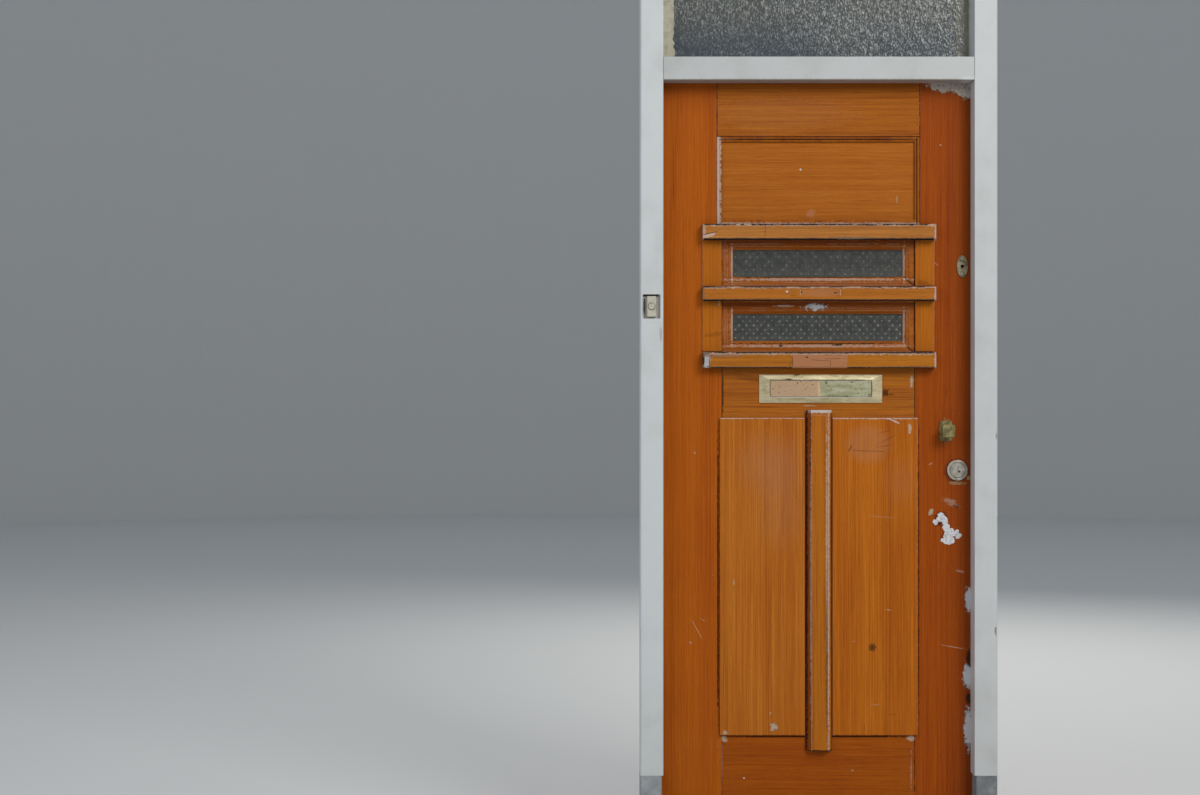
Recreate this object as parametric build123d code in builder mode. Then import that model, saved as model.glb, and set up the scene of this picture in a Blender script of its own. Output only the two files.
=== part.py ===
from build123d import *
import math
import os

# A panelled timber front door in its frame, with a fanlight above and stone feet below.
# Millimetres. X runs along the wall with the lock on the +X side, Y runs from the street face of the
# frame (Y = 0) into the house, Z is up from the underside of the threshold.

os.makedirs("parts", exist_ok=True)

# Doorway and frame
doorway_width = 860
doorway_top = 2163
jamb_width = 64
jamb_arris = 6
leaf_setback = 55
leaf_thickness = 40
lip_overlap = 10
leaf_gap = 3
transom_height = 64
fanlight_height = 340
head_height = 64
frame_arris = 1.5
frame_tenon_thickness = 22
frame_tenon_length = 30
frame_tenon_shoulder = 14
plinth_height = 185
plinth_setback = 4
plinth_arris = 7
threshold_height = 68
threshold_fall = 14
threshold_nose = 25
threshold_arris = 6
dowel_radius = 8
dowel_length = 80
dowel_setback = 28
fixing_hole_radius = 4
fixing_lowest = 560
fixing_spacing = 680
fixing_count = 3

# Fanlight
fanlight_putty_thickness = 7
fanlight_putty_spread = 24
fanlight_putty_edge = 4
fanlight_glass_thickness = 5
fanlight_bead_width = 15
fanlight_bead_setback = 3
glass_clearance = 3

# Leaf joinery
stile_width = 169.5
stile_step = 14
panel_axis = 5
top_rail_height = 158
upper_panel_height = 249
upper_light_rail_height = 41
upper_light_height = 129
middle_light_rail_height = 44
lower_light_height = 142
lock_rail_height = 188
bottom_rail_height = 290
muntin_width = 88
tenon_thickness = 13
tenon_length = 95
tenon_shoulder = 12
muntin_tenon_length = 50
glue_line = 0.1
groove_depth = 10
groove_play = 2
panel_play = 0.5

# Upper panel and its moulding
upper_panel_setback = 12
upper_panel_thickness = 14
moulding_width = 16
moulding_setback = 2
moulding_quirk = 3
moulding_round = 5

# Lower panels and batten
panel_proud = 8
panel_cover = 6
panel_round = 3
lower_panel_thickness = 22
lower_tongue_thickness = 12
batten_gap = 1.5
batten_proud = 20
batten_bevel = 15
batten_lap_top = 28
batten_lap_bottom = 47

# Ledges and face strips
ledge_projection = 28
ledge_overlap = 53.5
ledge_weathering = 3
ledge_bevel = 3
drip_width = 4
drip_setback = 7
upper_ledge_height = 42
middle_ledge_height = 37
lower_ledge_height = 43
strip_thickness = 3
strip_clearance = 1

# Lights
light_sight_height = 75.5
light_bead_side = 33
light_bead_width = 16
light_bead_slope = 9
light_bead_setback = 4
light_bead_step = 2
light_glass_setback = 18
light_glass_thickness = 4
light_glass_clearance = 2

# Letter plate
letter_plate_width = 343
letter_plate_height = 79
letter_plate_thickness = 8
letter_plate_rim = 2.5
letter_plate_crest = 2
letter_plate_side = 30.5
letter_plate_border = 16.5
letter_plate_offset = 6
letter_plate_rise = 87.5
letter_flap_thickness = 2.5
letter_flap_gap = 0.7
letter_flap_setback = 1
letter_flap_bevel = 1.2
letter_slot_margin = 7
letter_slot_rise = 1
flap_eye_radius = 3
flap_eye_length = 30
flap_pin_radius = 1.5
flap_lug_thickness = 4
flap_spring_length = 18
letter_bolt_inset = 12

# Through bolts
through_bolt_radius = 3
nut_size = 10
nut_thickness = 5
bolt_end = 1
boss_radius = 5.5
boss_length = 2

# Pull knob
knob_backset = 79
knob_drop = 30
knob_plate_width = 33
knob_plate_height = 56
knob_plate_thickness = 3
knob_size = 36
knob_thickness = 20
knob_projection = 45
knob_neck_radius = 8
knob_corner = 6
knob_round = 3
knob_plate_bevel = 1

# Night latch
lock_backset = 47
lock_drop = 140
rose_radius = 28.75
rose_thickness = 8
rose_edge = 2.7
rose_crest_radius = 24.4
rose_crest_height = 4.4
rose_quirk_radius = 23
rose_quirk_height = 3.6
rose_face_radius = 18.7
rose_floor = 2
cylinder_head_radius = 15.2
cylinder_head_proud = 9
cylinder_head_bevel = 1
cylinder_radius = 14
cylinder_depth = 38
cylinder_hole_play = 0.5
plug_radius = 7.5
running_fit = 0.05
keyway_width = 2
keyway_height = 8
keyway_rise = 2
keyway_depth = 15
tail_bar_width = 6
tail_bar_thickness = 2
tail_bar_play = 1
latch_case_reach = 41
latch_case_half_height = 32
latch_case_depth = 24
latch_wall = 2.5
latch_case_round = 2
latch_plate_thickness = 2
latch_plate_play = 0.2
latch_bolt_height = 28
latch_bolt_thickness = 14
latch_bolt_stand_off = 2
latch_bolt_nose = 5.5
latch_arm_thickness = 6.3
latch_arm_root = 6
latch_arm_margin = 3.5
latch_arm_clearance = 3
latch_head_clearance = 2.5
bolt_inset = 0.5
latch_throw = 14
latch_turn = 50
moving_gap = 0.3
crank_thickness = 4
crank_width = 9
crank_pin_radius = 2.5
hub_radius = 8
hub_setback = 0.5
spindle_radius = 5
turn_knob_radius = 17
turn_knob_thickness = 22
turn_knob_stand_off = 1
turn_knob_base = 6.5
turn_knob_round = 3
snib_travel = 5
snib_pin_radius = 1.5
snib_width = 10
snib_length = 16
snib_thickness = 4
snib_inset = 14
snib_rise = 8
snib_groove_depth = 3
snib_bevel = 1.3
latch_spring_radius = 3.2
latch_spring_wall = 1
keeper_width = 35
keeper_ear = 14
keeper_ear_thickness = 3

# Upper bolt
upper_bolt_backset = 33.5
upper_bolt_drop = 9.5
upper_bolt_height = 22
upper_bolt_thickness = 10
upper_bolt_bevel = 1
upper_bolt_length = 26
upper_bolt_stand_off = 5
upper_case_depth = 60
upper_case_height = 76
upper_case_thickness = 20
upper_case_round = 3
upper_case_screw_inset = 12
key_hole_radius = 5
key_bit_reach = 12
oval_plate_width = 31
oval_plate_height = 60
oval_plate_thickness = 3
oval_screw_spacing = 42

# Hinges
hinge_height = 89
hinge_plate_width = 30
hinge_plate_thickness = 2
hinge_knuckle_radius = 5.5
hinge_knuckle_gap = 0.25
hinge_pin_radius = 3
hinge_stand_off = 0.5
hinge_from_top = 188
hinge_from_bottom = 242
hinge_recess_play = 0.2
hinge_screw_spacing = 30
knuckle_count = 5
hinge_pin_head = 3

# Screws
screw_radius = 2
screw_head_radius = 4
screw_head_depth = 2
screw_length = 28
case_screw_length = 50
case_post_clearance = 3
oval_screw_length = 13
cylinder_screw_length = 22
screw_play = 0.1

# Bell push
bell_height = 1536.5
bell_inset = 32.5
bell_width = 25
bell_length = 57
bell_proud = 3
bell_round = 2
bell_button_round = 1.5
bell_flange_spread = 1.5
bell_pocket_width = 49
bell_pocket_length = 67
bell_pocket_depth = 12
bell_pocket_corner = 4
bell_button_radius = 8.5
bell_button_proud = 3
bell_press = 2
bell_flange = 1.6
bell_wall = 3

# Lines that follow from the sizes above
lip_x = doorway_width / 2
leaf_x = lip_x + lip_overlap
rebate_x = leaf_x + leaf_gap
frame_x = lip_x + jamb_width
rebate_width = lip_overlap + leaf_gap
frame_depth = leaf_setback + leaf_thickness
threshold_floor = threshold_height - rebate_width
jamb_foot = threshold_floor + plinth_height
leaf_bottom = threshold_floor + leaf_gap
leaf_top = doorway_top + lip_overlap
transom_top = doorway_top + transom_height
head_bottom = transom_top + fanlight_height
head_top = head_bottom + head_height
leaf_front = leaf_setback
leaf_back = frame_depth
leaf_middle = (leaf_front + leaf_back) / 2

lower_half = leaf_x - stile_width
upper_half = lower_half + stile_step
upper_panel_top = leaf_top - top_rail_height
upper_panel_bottom = upper_panel_top - upper_panel_height
upper_light_top = upper_panel_bottom - upper_light_rail_height
upper_light_bottom = upper_light_top - upper_light_height
lower_light_top = upper_light_bottom - middle_light_rail_height
lock_rail_top = lower_light_top - lower_light_height
lock_rail_bottom = lock_rail_top - lock_rail_height
bottom_rail_top = leaf_bottom + bottom_rail_height

knuckle_axis_x = -(leaf_x + rebate_x) / 2
knuckle_axis_y = leaf_back + hinge_stand_off + hinge_knuckle_radius
hinge_heights = [
    leaf_bottom + hinge_from_bottom,
    (leaf_bottom + hinge_from_bottom + leaf_top - hinge_from_top) / 2,
    leaf_top - hinge_from_top,
]


def save(piece, name):
    """Label a finished piece and write it to its own file."""
    piece.part.label = name
    export_step(piece.part, f"parts/{name}.step")


def block(x0, x1, y0, y1, z0, z1, mode=Mode.ADD):
    """A square-edged block between two corners."""
    with Locations(((x0 + x1) / 2, (y0 + y1) / 2, (z0 + z1) / 2)):
        Box(abs(x1 - x0), abs(y1 - y0), abs(z1 - z0), mode=mode)


def street_plane(y):
    """A drawing plane that faces the street, with X to the right and Z up."""
    return Plane.XZ.offset(-y)


def rod(start, direction, radius, length, mode=Mode.ADD):
    """A round bar from a point along a direction."""
    with Locations(Plane(origin=start, z_dir=direction)):
        Cylinder(radius, length, align=(Align.CENTER, Align.CENTER, Align.MIN), mode=mode)


def screw(head, outwards, length, grow=0.0, mode=Mode.ADD):
    """A countersunk screw whose head lies flush at a point, or its hole when it grows."""
    with Locations(Plane(origin=head, z_dir=outwards)):
        Cylinder(
            screw_radius + grow, length + grow, align=(Align.CENTER, Align.CENTER, Align.MAX), mode=mode
        )
        Cone(
            screw_radius + grow,
            screw_head_radius + grow,
            screw_head_depth,
            align=(Align.CENTER, Align.CENTER, Align.MAX),
            mode=mode,
        )


def frame_ring(outer, inner, y0, y1, mode=Mode.ADD):
    """A flat four-sided ring in the wall's plane: outer and inner are (x0, x1, z0, z1)."""
    block(outer[0], outer[1], y0, y1, outer[2], outer[3], mode=mode)
    block(inner[0], inner[1], y0, y1, inner[2], inner[3], mode=Mode.SUBTRACT)


def edges_at(piece, axis, y):
    """The edges of a piece that lie at one depth and run along an axis."""
    return [e for e in piece.edges().filter_by(axis) if abs(e.center().Y - y) < 0.001]


# Frame

frame_tenon_front = (leaf_setback - frame_tenon_thickness) / 2
frame_tenon_back = frame_tenon_front + frame_tenon_thickness
transom_tenon_bottom = doorway_top + frame_tenon_shoulder
transom_tenon_top = transom_top - frame_tenon_shoulder
jamb_tenon_inner = lip_x + frame_tenon_shoulder
jamb_tenon_outer = frame_x - frame_tenon_shoulder
fixing_heights = [fixing_lowest + i * fixing_spacing for i in range(fixing_count)]
dowel_x = (lip_x + frame_x) / 2

with BuildPart() as threshold:
    with BuildSketch(Plane.YZ.offset(-frame_x)):
        Polygon(
            (-threshold_nose, 0),
            (frame_depth, 0),
            (frame_depth, threshold_floor),
            (leaf_setback, threshold_floor),
            (leaf_setback, threshold_height),
            (-threshold_nose, threshold_height - threshold_fall),
            align=None,
        )
    extrude(amount=2 * frame_x)
    fillet(
        threshold.edges().filter_by(Axis.X).group_by(Axis.Y)[0].sort_by(Axis.Z)[-1],
        threshold_arris,
    )
    # The ends are cut level to carry the plinth blocks.
    for side in (-1, 1):
        plinth_seat = sorted((side * (lip_x + plinth_setback), side * frame_x))
        block(*plinth_seat, 0, frame_depth, threshold_floor, threshold_height, mode=Mode.SUBTRACT)
        rod(
            (side * dowel_x, dowel_setback, threshold_floor - dowel_length / 2),
            (0, 0, 1),
            dowel_radius + screw_play,
            dowel_length,
            mode=Mode.SUBTRACT,
        )
save(threshold, "threshold")

for side, name in ((-1, "plinth_left"), (1, "plinth_right")):
    with BuildPart() as plinth:
        with BuildSketch(Plane.XY.offset(threshold_floor)):
            Polygon(
                (side * (lip_x + plinth_setback), 0),
                (side * frame_x, 0),
                (side * frame_x, frame_depth),
                (side * rebate_x, frame_depth),
                (side * rebate_x, leaf_setback),
                (side * (lip_x + plinth_setback), leaf_setback),
                align=None,
            )
        extrude(amount=plinth_height)
        fillet(plinth.edges().filter_by(Axis.Z).group_by(Axis.Y)[0], plinth_arris)
        for z in (threshold_floor, jamb_foot):
            rod(
                (side * dowel_x, dowel_setback, z - dowel_length / 2),
                (0, 0, 1),
                dowel_radius + screw_play,
                dowel_length,
                mode=Mode.SUBTRACT,
            )
    save(plinth, name)

with BuildPart() as jamb_dowels:
    for side in (-1, 1):
        for z in (threshold_floor, jamb_foot):
            rod(
                (side * dowel_x, dowel_setback, z - dowel_length / 2),
                (0, 0, 1),
                dowel_radius,
                dowel_length,
            )
save(jamb_dowels, "jamb_dowels")

# The upper bolt slides in a case on the room side, into a keeper on the jamb.
upper_bolt_z = (upper_light_top + upper_light_bottom) / 2 - upper_bolt_drop
upper_bolt_tip = leaf_x - bolt_inset
upper_bolt_half = upper_bolt_height / 2
upper_bolt_front = leaf_back + upper_bolt_stand_off
upper_bolt_back = upper_bolt_front + upper_bolt_thickness
upper_case_left = leaf_x - upper_case_depth
upper_case_half = upper_case_height / 2
upper_case_front = leaf_back + upper_case_thickness
keyhole_x = leaf_x - upper_bolt_backset

# The night latch turns about one line through the lock stile.
lock_x = leaf_x - lock_backset
lock_z = lock_rail_bottom - lock_drop
case_front = leaf_back + latch_case_depth


def ear_screws(x, z, half_height):
    """The places of the screws in the two ears of a case or keeper."""
    ear_z = half_height + keeper_ear / 2
    return [((x, leaf_back + keeper_ear_thickness, z + s * ear_z), (0, 1, 0)) for s in (-1, 1)]


keeper_screw_x = rebate_x + keeper_width / 2
keeper_screws = ear_screws(keeper_screw_x, lock_z, latch_case_half_height)
bolt_keeper_screws = ear_screws(keeper_screw_x, upper_bolt_z, upper_case_half)
upper_case_screws = [
    place
    for x in (upper_case_left + upper_case_screw_inset, leaf_x - upper_case_screw_inset)
    for place in ear_screws(x, upper_bolt_z, upper_case_half)
]

hinge_plate_front = leaf_back - hinge_plate_width
hinge_screw_y = leaf_back - hinge_plate_width / 2
hinge_screw_heights = [
    z + s * hinge_screw_spacing for z in hinge_heights for s in (-1, 0, 1)
]
jamb_hinge_screws = [((-rebate_x, hinge_screw_y, z), (1, 0, 0)) for z in hinge_screw_heights]
leaf_hinge_screws = [((-leaf_x, hinge_screw_y, z), (-1, 0, 0)) for z in hinge_screw_heights]

bell_x = -(lip_x + bell_inset)

for side, name in ((-1, "jamb_left"), (1, "jamb_right")):
    with BuildPart() as jamb:
        with BuildSketch(Plane.XY.offset(jamb_foot)):
            Polygon(
                (side * lip_x, 0),
                (side * frame_x, 0),
                (side * frame_x, frame_depth),
                (side * rebate_x, frame_depth),
                (side * rebate_x, leaf_setback),
                (side * lip_x, leaf_setback),
                align=None,
            )
        extrude(amount=head_bottom - jamb_foot)
        front_corners = jamb.edges().filter_by(Axis.Z).group_by(Axis.Y)[0].sort_by(Axis.X)
        outer_corner = front_corners[0] if side < 0 else front_corners[-1]
        inner_corner = front_corners[-1] if side < 0 else front_corners[0]
        fillet(outer_corner, jamb_arris)
        fillet(inner_corner, frame_arris)
        tenon = sorted((side * jamb_tenon_inner, side * jamb_tenon_outer))
        block(
            *tenon, frame_tenon_front, frame_tenon_back, head_bottom, head_bottom + frame_tenon_length
        )
        mortice = sorted((side * lip_x, side * (lip_x + frame_tenon_length)))
        block(
            *mortice,
            frame_tenon_front,
            frame_tenon_back,
            transom_tenon_bottom,
            transom_tenon_top,
            mode=Mode.SUBTRACT,
        )
        rod(
            (side * dowel_x, dowel_setback, jamb_foot - dowel_length / 2),
            (0, 0, 1),
            dowel_radius + screw_play,
            dowel_length,
            mode=Mode.SUBTRACT,
        )
        # Holes for the wall fixings lie in the rebate, where the closed leaf hides them.
        for z in fixing_heights:
            rod(
                (side * lip_x, leaf_middle, z),
                (side, 0, 0),
                fixing_hole_radius,
                jamb_width,
                mode=Mode.SUBTRACT,
            )
        if side < 0:
            with BuildSketch(street_plane(0)):
                with Locations((bell_x, bell_height)):
                    RectangleRounded(bell_pocket_width, bell_pocket_length, bell_pocket_corner)
            extrude(amount=-bell_pocket_depth, mode=Mode.SUBTRACT)
            for z in hinge_heights:
                block(
                    -rebate_x - hinge_plate_thickness,
                    -rebate_x,
                    hinge_plate_front - hinge_recess_play,
                    leaf_back,
                    z - hinge_height / 2 - hinge_recess_play,
                    z + hinge_height / 2 + hinge_recess_play,
                    mode=Mode.SUBTRACT,
                )
            for head_at, outwards in jamb_hinge_screws:
                screw(head_at, outwards, screw_length, grow=screw_play, mode=Mode.SUBTRACT)
        else:
            for head_at, outwards in keeper_screws + bolt_keeper_screws:
                screw(head_at, outwards, screw_length, grow=screw_play, mode=Mode.SUBTRACT)
    save(jamb, name)

with BuildPart() as transom:
    block(-lip_x, lip_x, 0, leaf_setback, doorway_top, transom_top)
    fillet(edges_at(transom, Axis.X, 0), frame_arris)
    block(
        -rebate_x,
        rebate_x,
        leaf_setback,
        frame_depth,
        doorway_top + rebate_width,
        transom_top - rebate_width,
    )
    tenon_reach = lip_x + frame_tenon_length
    block(
        -tenon_reach,
        tenon_reach,
        frame_tenon_front,
        frame_tenon_back,
        transom_tenon_bottom,
        transom_tenon_top,
    )
save(transom, "transom")

with BuildPart() as head:
    block(-frame_x, frame_x, 0, frame_depth, head_bottom, head_top)
    fillet(edges_at(head, Axis.X, 0), frame_arris)
    block(
        -rebate_x,
        rebate_x,
        leaf_setback,
        frame_depth,
        head_bottom,
        head_bottom + rebate_width,
        mode=Mode.SUBTRACT,
    )
    for side in (-1, 1):
        mortice = sorted((side * jamb_tenon_inner, side * jamb_tenon_outer))
        block(
            *mortice,
            frame_tenon_front,
            frame_tenon_back,
            head_bottom,
            head_bottom + frame_tenon_length,
            mode=Mode.SUBTRACT,
        )
save(head, "head")

# Fanlight: bedding putty behind the lips, the glass against it, and a bead on the room side.

fanlight_bottom = transom_top - rebate_width
fanlight_top = head_bottom + rebate_width
fanlight_rebate = (-rebate_x, rebate_x, fanlight_bottom, fanlight_top)
fanlight_glass_front = leaf_setback + fanlight_putty_thickness
fanlight_glass_back = fanlight_glass_front + fanlight_glass_thickness

with BuildPart() as fanlight_putty:
    frame_ring(
        fanlight_rebate,
        (
            -lip_x + fanlight_putty_spread,
            lip_x - fanlight_putty_edge,
            transom_top + fanlight_putty_edge,
            head_bottom - fanlight_putty_edge,
        ),
        leaf_setback,
        fanlight_glass_front,
    )
save(fanlight_putty, "fanlight_putty")

with BuildPart() as fanlight_glass:
    block(
        -rebate_x + glass_clearance,
        rebate_x - glass_clearance,
        fanlight_glass_front,
        fanlight_glass_back,
        fanlight_bottom + glass_clearance,
        fanlight_top - glass_clearance,
    )
save(fanlight_glass, "fanlight_glass")

with BuildPart() as fanlight_bead:
    fanlight_bead_back = frame_depth - fanlight_bead_setback
    frame_ring(
        fanlight_rebate,
        (
            -rebate_x + fanlight_bead_width,
            rebate_x - fanlight_bead_width,
            fanlight_bottom + fanlight_bead_width,
            fanlight_top - fanlight_bead_width,
        ),
        fanlight_glass_back,
        fanlight_bead_back,
    )
    # The room side of the bead falls away towards the glass.
    inner_back = [
        e
        for e in fanlight_bead.edges()
        if abs(e.center().Y - fanlight_bead_back) < 0.001
        and abs(e.center().X) < rebate_x - fanlight_bead_width / 2
        and abs(e.center().Z - (fanlight_bottom + fanlight_top) / 2)
        < (fanlight_top - fanlight_bottom - fanlight_bead_width) / 2
    ]
    chamfer(inner_back, fanlight_bead_width / 2)
save(fanlight_bead, "fanlight_bead")

# Leaf: stiles, rails and muntin, joined by tenons, grooved for the panels.

tenon_front = leaf_middle - tenon_thickness / 2
tenon_back = leaf_middle + tenon_thickness / 2
muntin_half = muntin_width / 2
muntin_tenon_half = muntin_half - groove_depth - groove_play
lower_tongue_back = leaf_front + lower_panel_thickness
lower_tongue_front = lower_tongue_back - lower_tongue_thickness
upper_panel_front = leaf_front + upper_panel_setback
upper_panel_back = upper_panel_front + upper_panel_thickness

upper_panel_opening = (
    panel_axis - upper_half, panel_axis + upper_half, upper_panel_bottom, upper_panel_top
)
lower_panel_openings = {
    "lower_panel_left": (
        panel_axis - lower_half, panel_axis - muntin_half, bottom_rail_top, lock_rail_bottom
    ),
    "lower_panel_right": (
        panel_axis + muntin_half, panel_axis + lower_half, bottom_rail_top, lock_rail_bottom
    ),
}


def grown(opening, by):
    """An opening (x0, x1, z0, z1) made wider on all four sides."""
    return opening[0] - by, opening[1] + by, opening[2] - by, opening[3] + by


def panel_grooves():
    """Cut the grooves of all three panels into the member being built."""
    x0, x1, z0, z1 = grown(upper_panel_opening, groove_depth)
    block(x0, x1, upper_panel_front, upper_panel_back, z0, z1, mode=Mode.SUBTRACT)
    for opening in lower_panel_openings.values():
        x0, x1, z0, z1 = grown(opening, groove_depth)
        block(x0, x1, lower_tongue_front, lower_tongue_back, z0, z1, mode=Mode.SUBTRACT)


rails = {
    "top_rail": (upper_panel_top, leaf_top, upper_half),
    "upper_light_rail": (upper_light_top, upper_panel_bottom, lower_half),
    "middle_light_rail": (lower_light_top, upper_light_bottom, lower_half),
    "lock_rail": (lock_rail_bottom, lock_rail_top, lower_half),
    "bottom_rail": (leaf_bottom, bottom_rail_top, lower_half),
}

# Letter plate, its slot through the lock rail and its two bolts
letter_x = panel_axis + letter_plate_offset
letter_z = lock_rail_bottom + letter_plate_rise
flap_half = letter_plate_width / 2 - letter_plate_side
letter_flap_height = letter_plate_height - 2 * letter_plate_border
flap_opening_half = flap_half + letter_flap_gap
slot_half_width = flap_opening_half + letter_slot_margin
slot_bottom = letter_z - letter_flap_height / 2 - letter_slot_rise
slot_top = letter_z + letter_flap_height / 2 + letter_slot_rise
letter_bolt_x = letter_plate_width / 2 - letter_bolt_inset
knob_x = leaf_x - knob_backset
knob_z = lock_rail_bottom - knob_drop
through_bolts_at = [
    (letter_x - letter_bolt_x, letter_z),
    (letter_x + letter_bolt_x, letter_z),
    (knob_x, knob_z),
]
oval_plate_front = leaf_front - oval_plate_thickness
oval_screws = [
    ((keyhole_x, oval_plate_front, upper_bolt_z + s * oval_screw_spacing / 2), (0, -1, 0))
    for s in (-1, 1)
]
case_post_inset = latch_wall + screw_head_radius + case_post_clearance
case_left = lock_x - latch_case_reach
case_posts = [
    (case_left + case_post_inset, lock_z - latch_case_half_height + case_post_inset),
    (case_left + case_post_inset, lock_z + latch_case_half_height - case_post_inset),
    (leaf_x - case_post_inset, lock_z - latch_case_half_height + case_post_inset),
]
case_screws = [((x, case_front, z), (0, 1, 0)) for x, z in case_posts]
cylinder_screw_x = (cylinder_radius + plug_radius) / 2
latch_plate_back = leaf_back + latch_plate_thickness
cylinder_screws = [
    ((lock_x + s * cylinder_screw_x, latch_plate_back, lock_z), (0, 1, 0)) for s in (-1, 1)
]

for side, name in ((-1, "hinge_stile"), (1, "lock_stile")):
    with BuildPart() as stile:
        with BuildSketch(street_plane(leaf_front)):
            Polygon(
                (side * leaf_x, leaf_bottom),
                (side * leaf_x, leaf_top),
                (panel_axis + side * upper_half, leaf_top),
                (panel_axis + side * upper_half, upper_panel_bottom),
                (panel_axis + side * lower_half, upper_panel_bottom),
                (panel_axis + side * lower_half, leaf_bottom),
                align=None,
            )
        extrude(amount=-leaf_thickness)
        for z0, z1, half in rails.values():
            mortice = sorted(
                (
                    panel_axis + side * half,
                    panel_axis + side * (half + tenon_length + glue_line),
                )
            )
            block(
                *mortice,
                tenon_front - glue_line,
                tenon_back + glue_line,
                z0 + tenon_shoulder - glue_line,
                z1 - tenon_shoulder + glue_line,
                mode=Mode.SUBTRACT,
            )
        panel_grooves()
        if side < 0:
            for z in hinge_heights:
                block(
                    -leaf_x,
                    -leaf_x + hinge_plate_thickness,
                    hinge_plate_front - hinge_recess_play,
                    leaf_back,
                    z - hinge_height / 2 - hinge_recess_play,
                    z + hinge_height / 2 + hinge_recess_play,
                    mode=Mode.SUBTRACT,
                )
            for head_at, outwards in leaf_hinge_screws:
                screw(head_at, outwards, screw_length, grow=screw_play, mode=Mode.SUBTRACT)
        else:
            # Holes for key, cylinder and knob go right through.
            across = (0, 1, 0)
            rod(
                (keyhole_x, leaf_front, upper_bolt_z), across, key_hole_radius, leaf_thickness,
                mode=Mode.SUBTRACT,
            )
            rod(
                (lock_x, leaf_front, lock_z), across, cylinder_radius + cylinder_hole_play,
                leaf_thickness, mode=Mode.SUBTRACT,
            )
            rod(
                (knob_x, leaf_front, knob_z), across, through_bolt_radius + screw_play,
                leaf_thickness, mode=Mode.SUBTRACT,
            )
            for head_at, outwards in oval_screws:
                screw(head_at, outwards, oval_screw_length, grow=screw_play, mode=Mode.SUBTRACT)
            for head_at, outwards in case_screws:
                screw(head_at, outwards, case_screw_length, grow=screw_play, mode=Mode.SUBTRACT)
            for head_at, outwards in upper_case_screws:
                screw(head_at, outwards, screw_length, grow=screw_play, mode=Mode.SUBTRACT)
    save(stile, name)

for name, (z0, z1, half) in rails.items():
    with BuildPart() as rail:
        block(panel_axis - half, panel_axis + half, leaf_front, leaf_back, z0, z1)
        reach = half + tenon_length
        block(
            panel_axis - reach,
            panel_axis + reach,
            tenon_front,
            tenon_back,
            z0 + tenon_shoulder,
            z1 - tenon_shoulder,
        )
        panel_grooves()
        if name in ("lock_rail", "bottom_rail"):
            block(
                panel_axis - muntin_tenon_half - glue_line,
                panel_axis + muntin_tenon_half + glue_line,
                tenon_front - glue_line,
                tenon_back + glue_line,
                bottom_rail_top - muntin_tenon_length - glue_line,
                lock_rail_bottom + muntin_tenon_length + glue_line,
                mode=Mode.SUBTRACT,
            )
        if name == "lock_rail":
            block(
                letter_x - slot_half_width,
                letter_x + slot_half_width,
                leaf_front,
                leaf_back,
                slot_bottom,
                slot_top,
                mode=Mode.SUBTRACT,
            )
            for x, z in through_bolts_at[:2]:
                rod(
                    (x, leaf_front, z), (0, 1, 0), boss_radius + screw_play, leaf_thickness,
                    mode=Mode.SUBTRACT,
                )
    save(rail, name)

with BuildPart() as muntin:
    block(
        panel_axis - muntin_half,
        panel_axis + muntin_half,
        leaf_front,
        leaf_back,
        bottom_rail_top,
        lock_rail_bottom,
    )
    block(
        panel_axis - muntin_tenon_half,
        panel_axis + muntin_tenon_half,
        tenon_front,
        tenon_back,
        bottom_rail_top - muntin_tenon_length,
        lock_rail_bottom + muntin_tenon_length,
    )
    panel_grooves()
save(muntin, "muntin")

# Panels

panel_reach = groove_depth - groove_play

with BuildPart() as upper_panel:
    x0, x1, z0, z1 = grown(upper_panel_opening, panel_reach)
    block(x0, x1, upper_panel_front, upper_panel_back, z0, z1)
save(upper_panel, "upper_panel")

with BuildPart() as upper_moulding:
    frame_ring(
        upper_panel_opening,
        grown(upper_panel_opening, -moulding_width),
        leaf_front + moulding_setback + moulding_quirk,
        upper_panel_front,
    )
    inner_width = grown(upper_panel_opening, -moulding_width)
    inner_front = [
        e
        for e in upper_moulding.edges()
        if abs(e.center().Y - (leaf_front + moulding_setback + moulding_quirk)) < 0.001
        and inner_width[0] - 1 < e.center().X < inner_width[1] + 1
        and inner_width[2] - 1 < e.center().Z < inner_width[3] + 1
    ]
    fillet(inner_front, moulding_round)
    frame_ring(
        upper_panel_opening,
        grown(upper_panel_opening, -moulding_width / 2),
        leaf_front + moulding_setback,
        leaf_front + moulding_setback + moulding_quirk,
    )
save(upper_moulding, "upper_moulding")

for name, opening in lower_panel_openings.items():
    with BuildPart() as lower_panel:
        # The tongue in the grooves, the body in the opening, and the proud face that laps the frame
        x0, x1, z0, z1 = grown(opening, panel_reach)
        block(x0, x1, lower_tongue_front, lower_tongue_back, z0, z1)
        x0, x1, z0, z1 = grown(opening, -panel_play)
        block(x0, x1, leaf_front, lower_tongue_front, z0, z1)
        x0, x1, z0, z1 = grown(opening, panel_cover)
        block(x0, x1, leaf_front - panel_proud, leaf_front, z0, z1)
        face_edges = [
            e
            for e in lower_panel.edges()
            if abs(e.center().Y - (leaf_front - panel_proud)) < 0.001
        ]
        fillet(face_edges, panel_round)
    save(lower_panel, name)

with BuildPart() as centre_batten:
    batten_half = muntin_half - panel_cover - batten_gap
    batten_bottom = bottom_rail_top - batten_lap_bottom
    batten_top = lock_rail_bottom + batten_lap_top
    batten_front = leaf_front - batten_proud
    block(
        panel_axis - batten_half,
        panel_axis + batten_half,
        batten_front,
        leaf_front,
        batten_bottom,
        batten_top,
    )
    # Both long front edges and the top one are bevelled; the foot is sawn square.
    sides = edges_at(centre_batten, Axis.Z, batten_front)
    top = [e for e in edges_at(centre_batten, Axis.X, batten_front) if e.center().Z > knob_z]
    chamfer(sides + top, batten_bevel)
save(centre_batten, "centre_batten")

# Ledges: each laps over the stiles, sheds water forwards and has a drip groove below.

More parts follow.
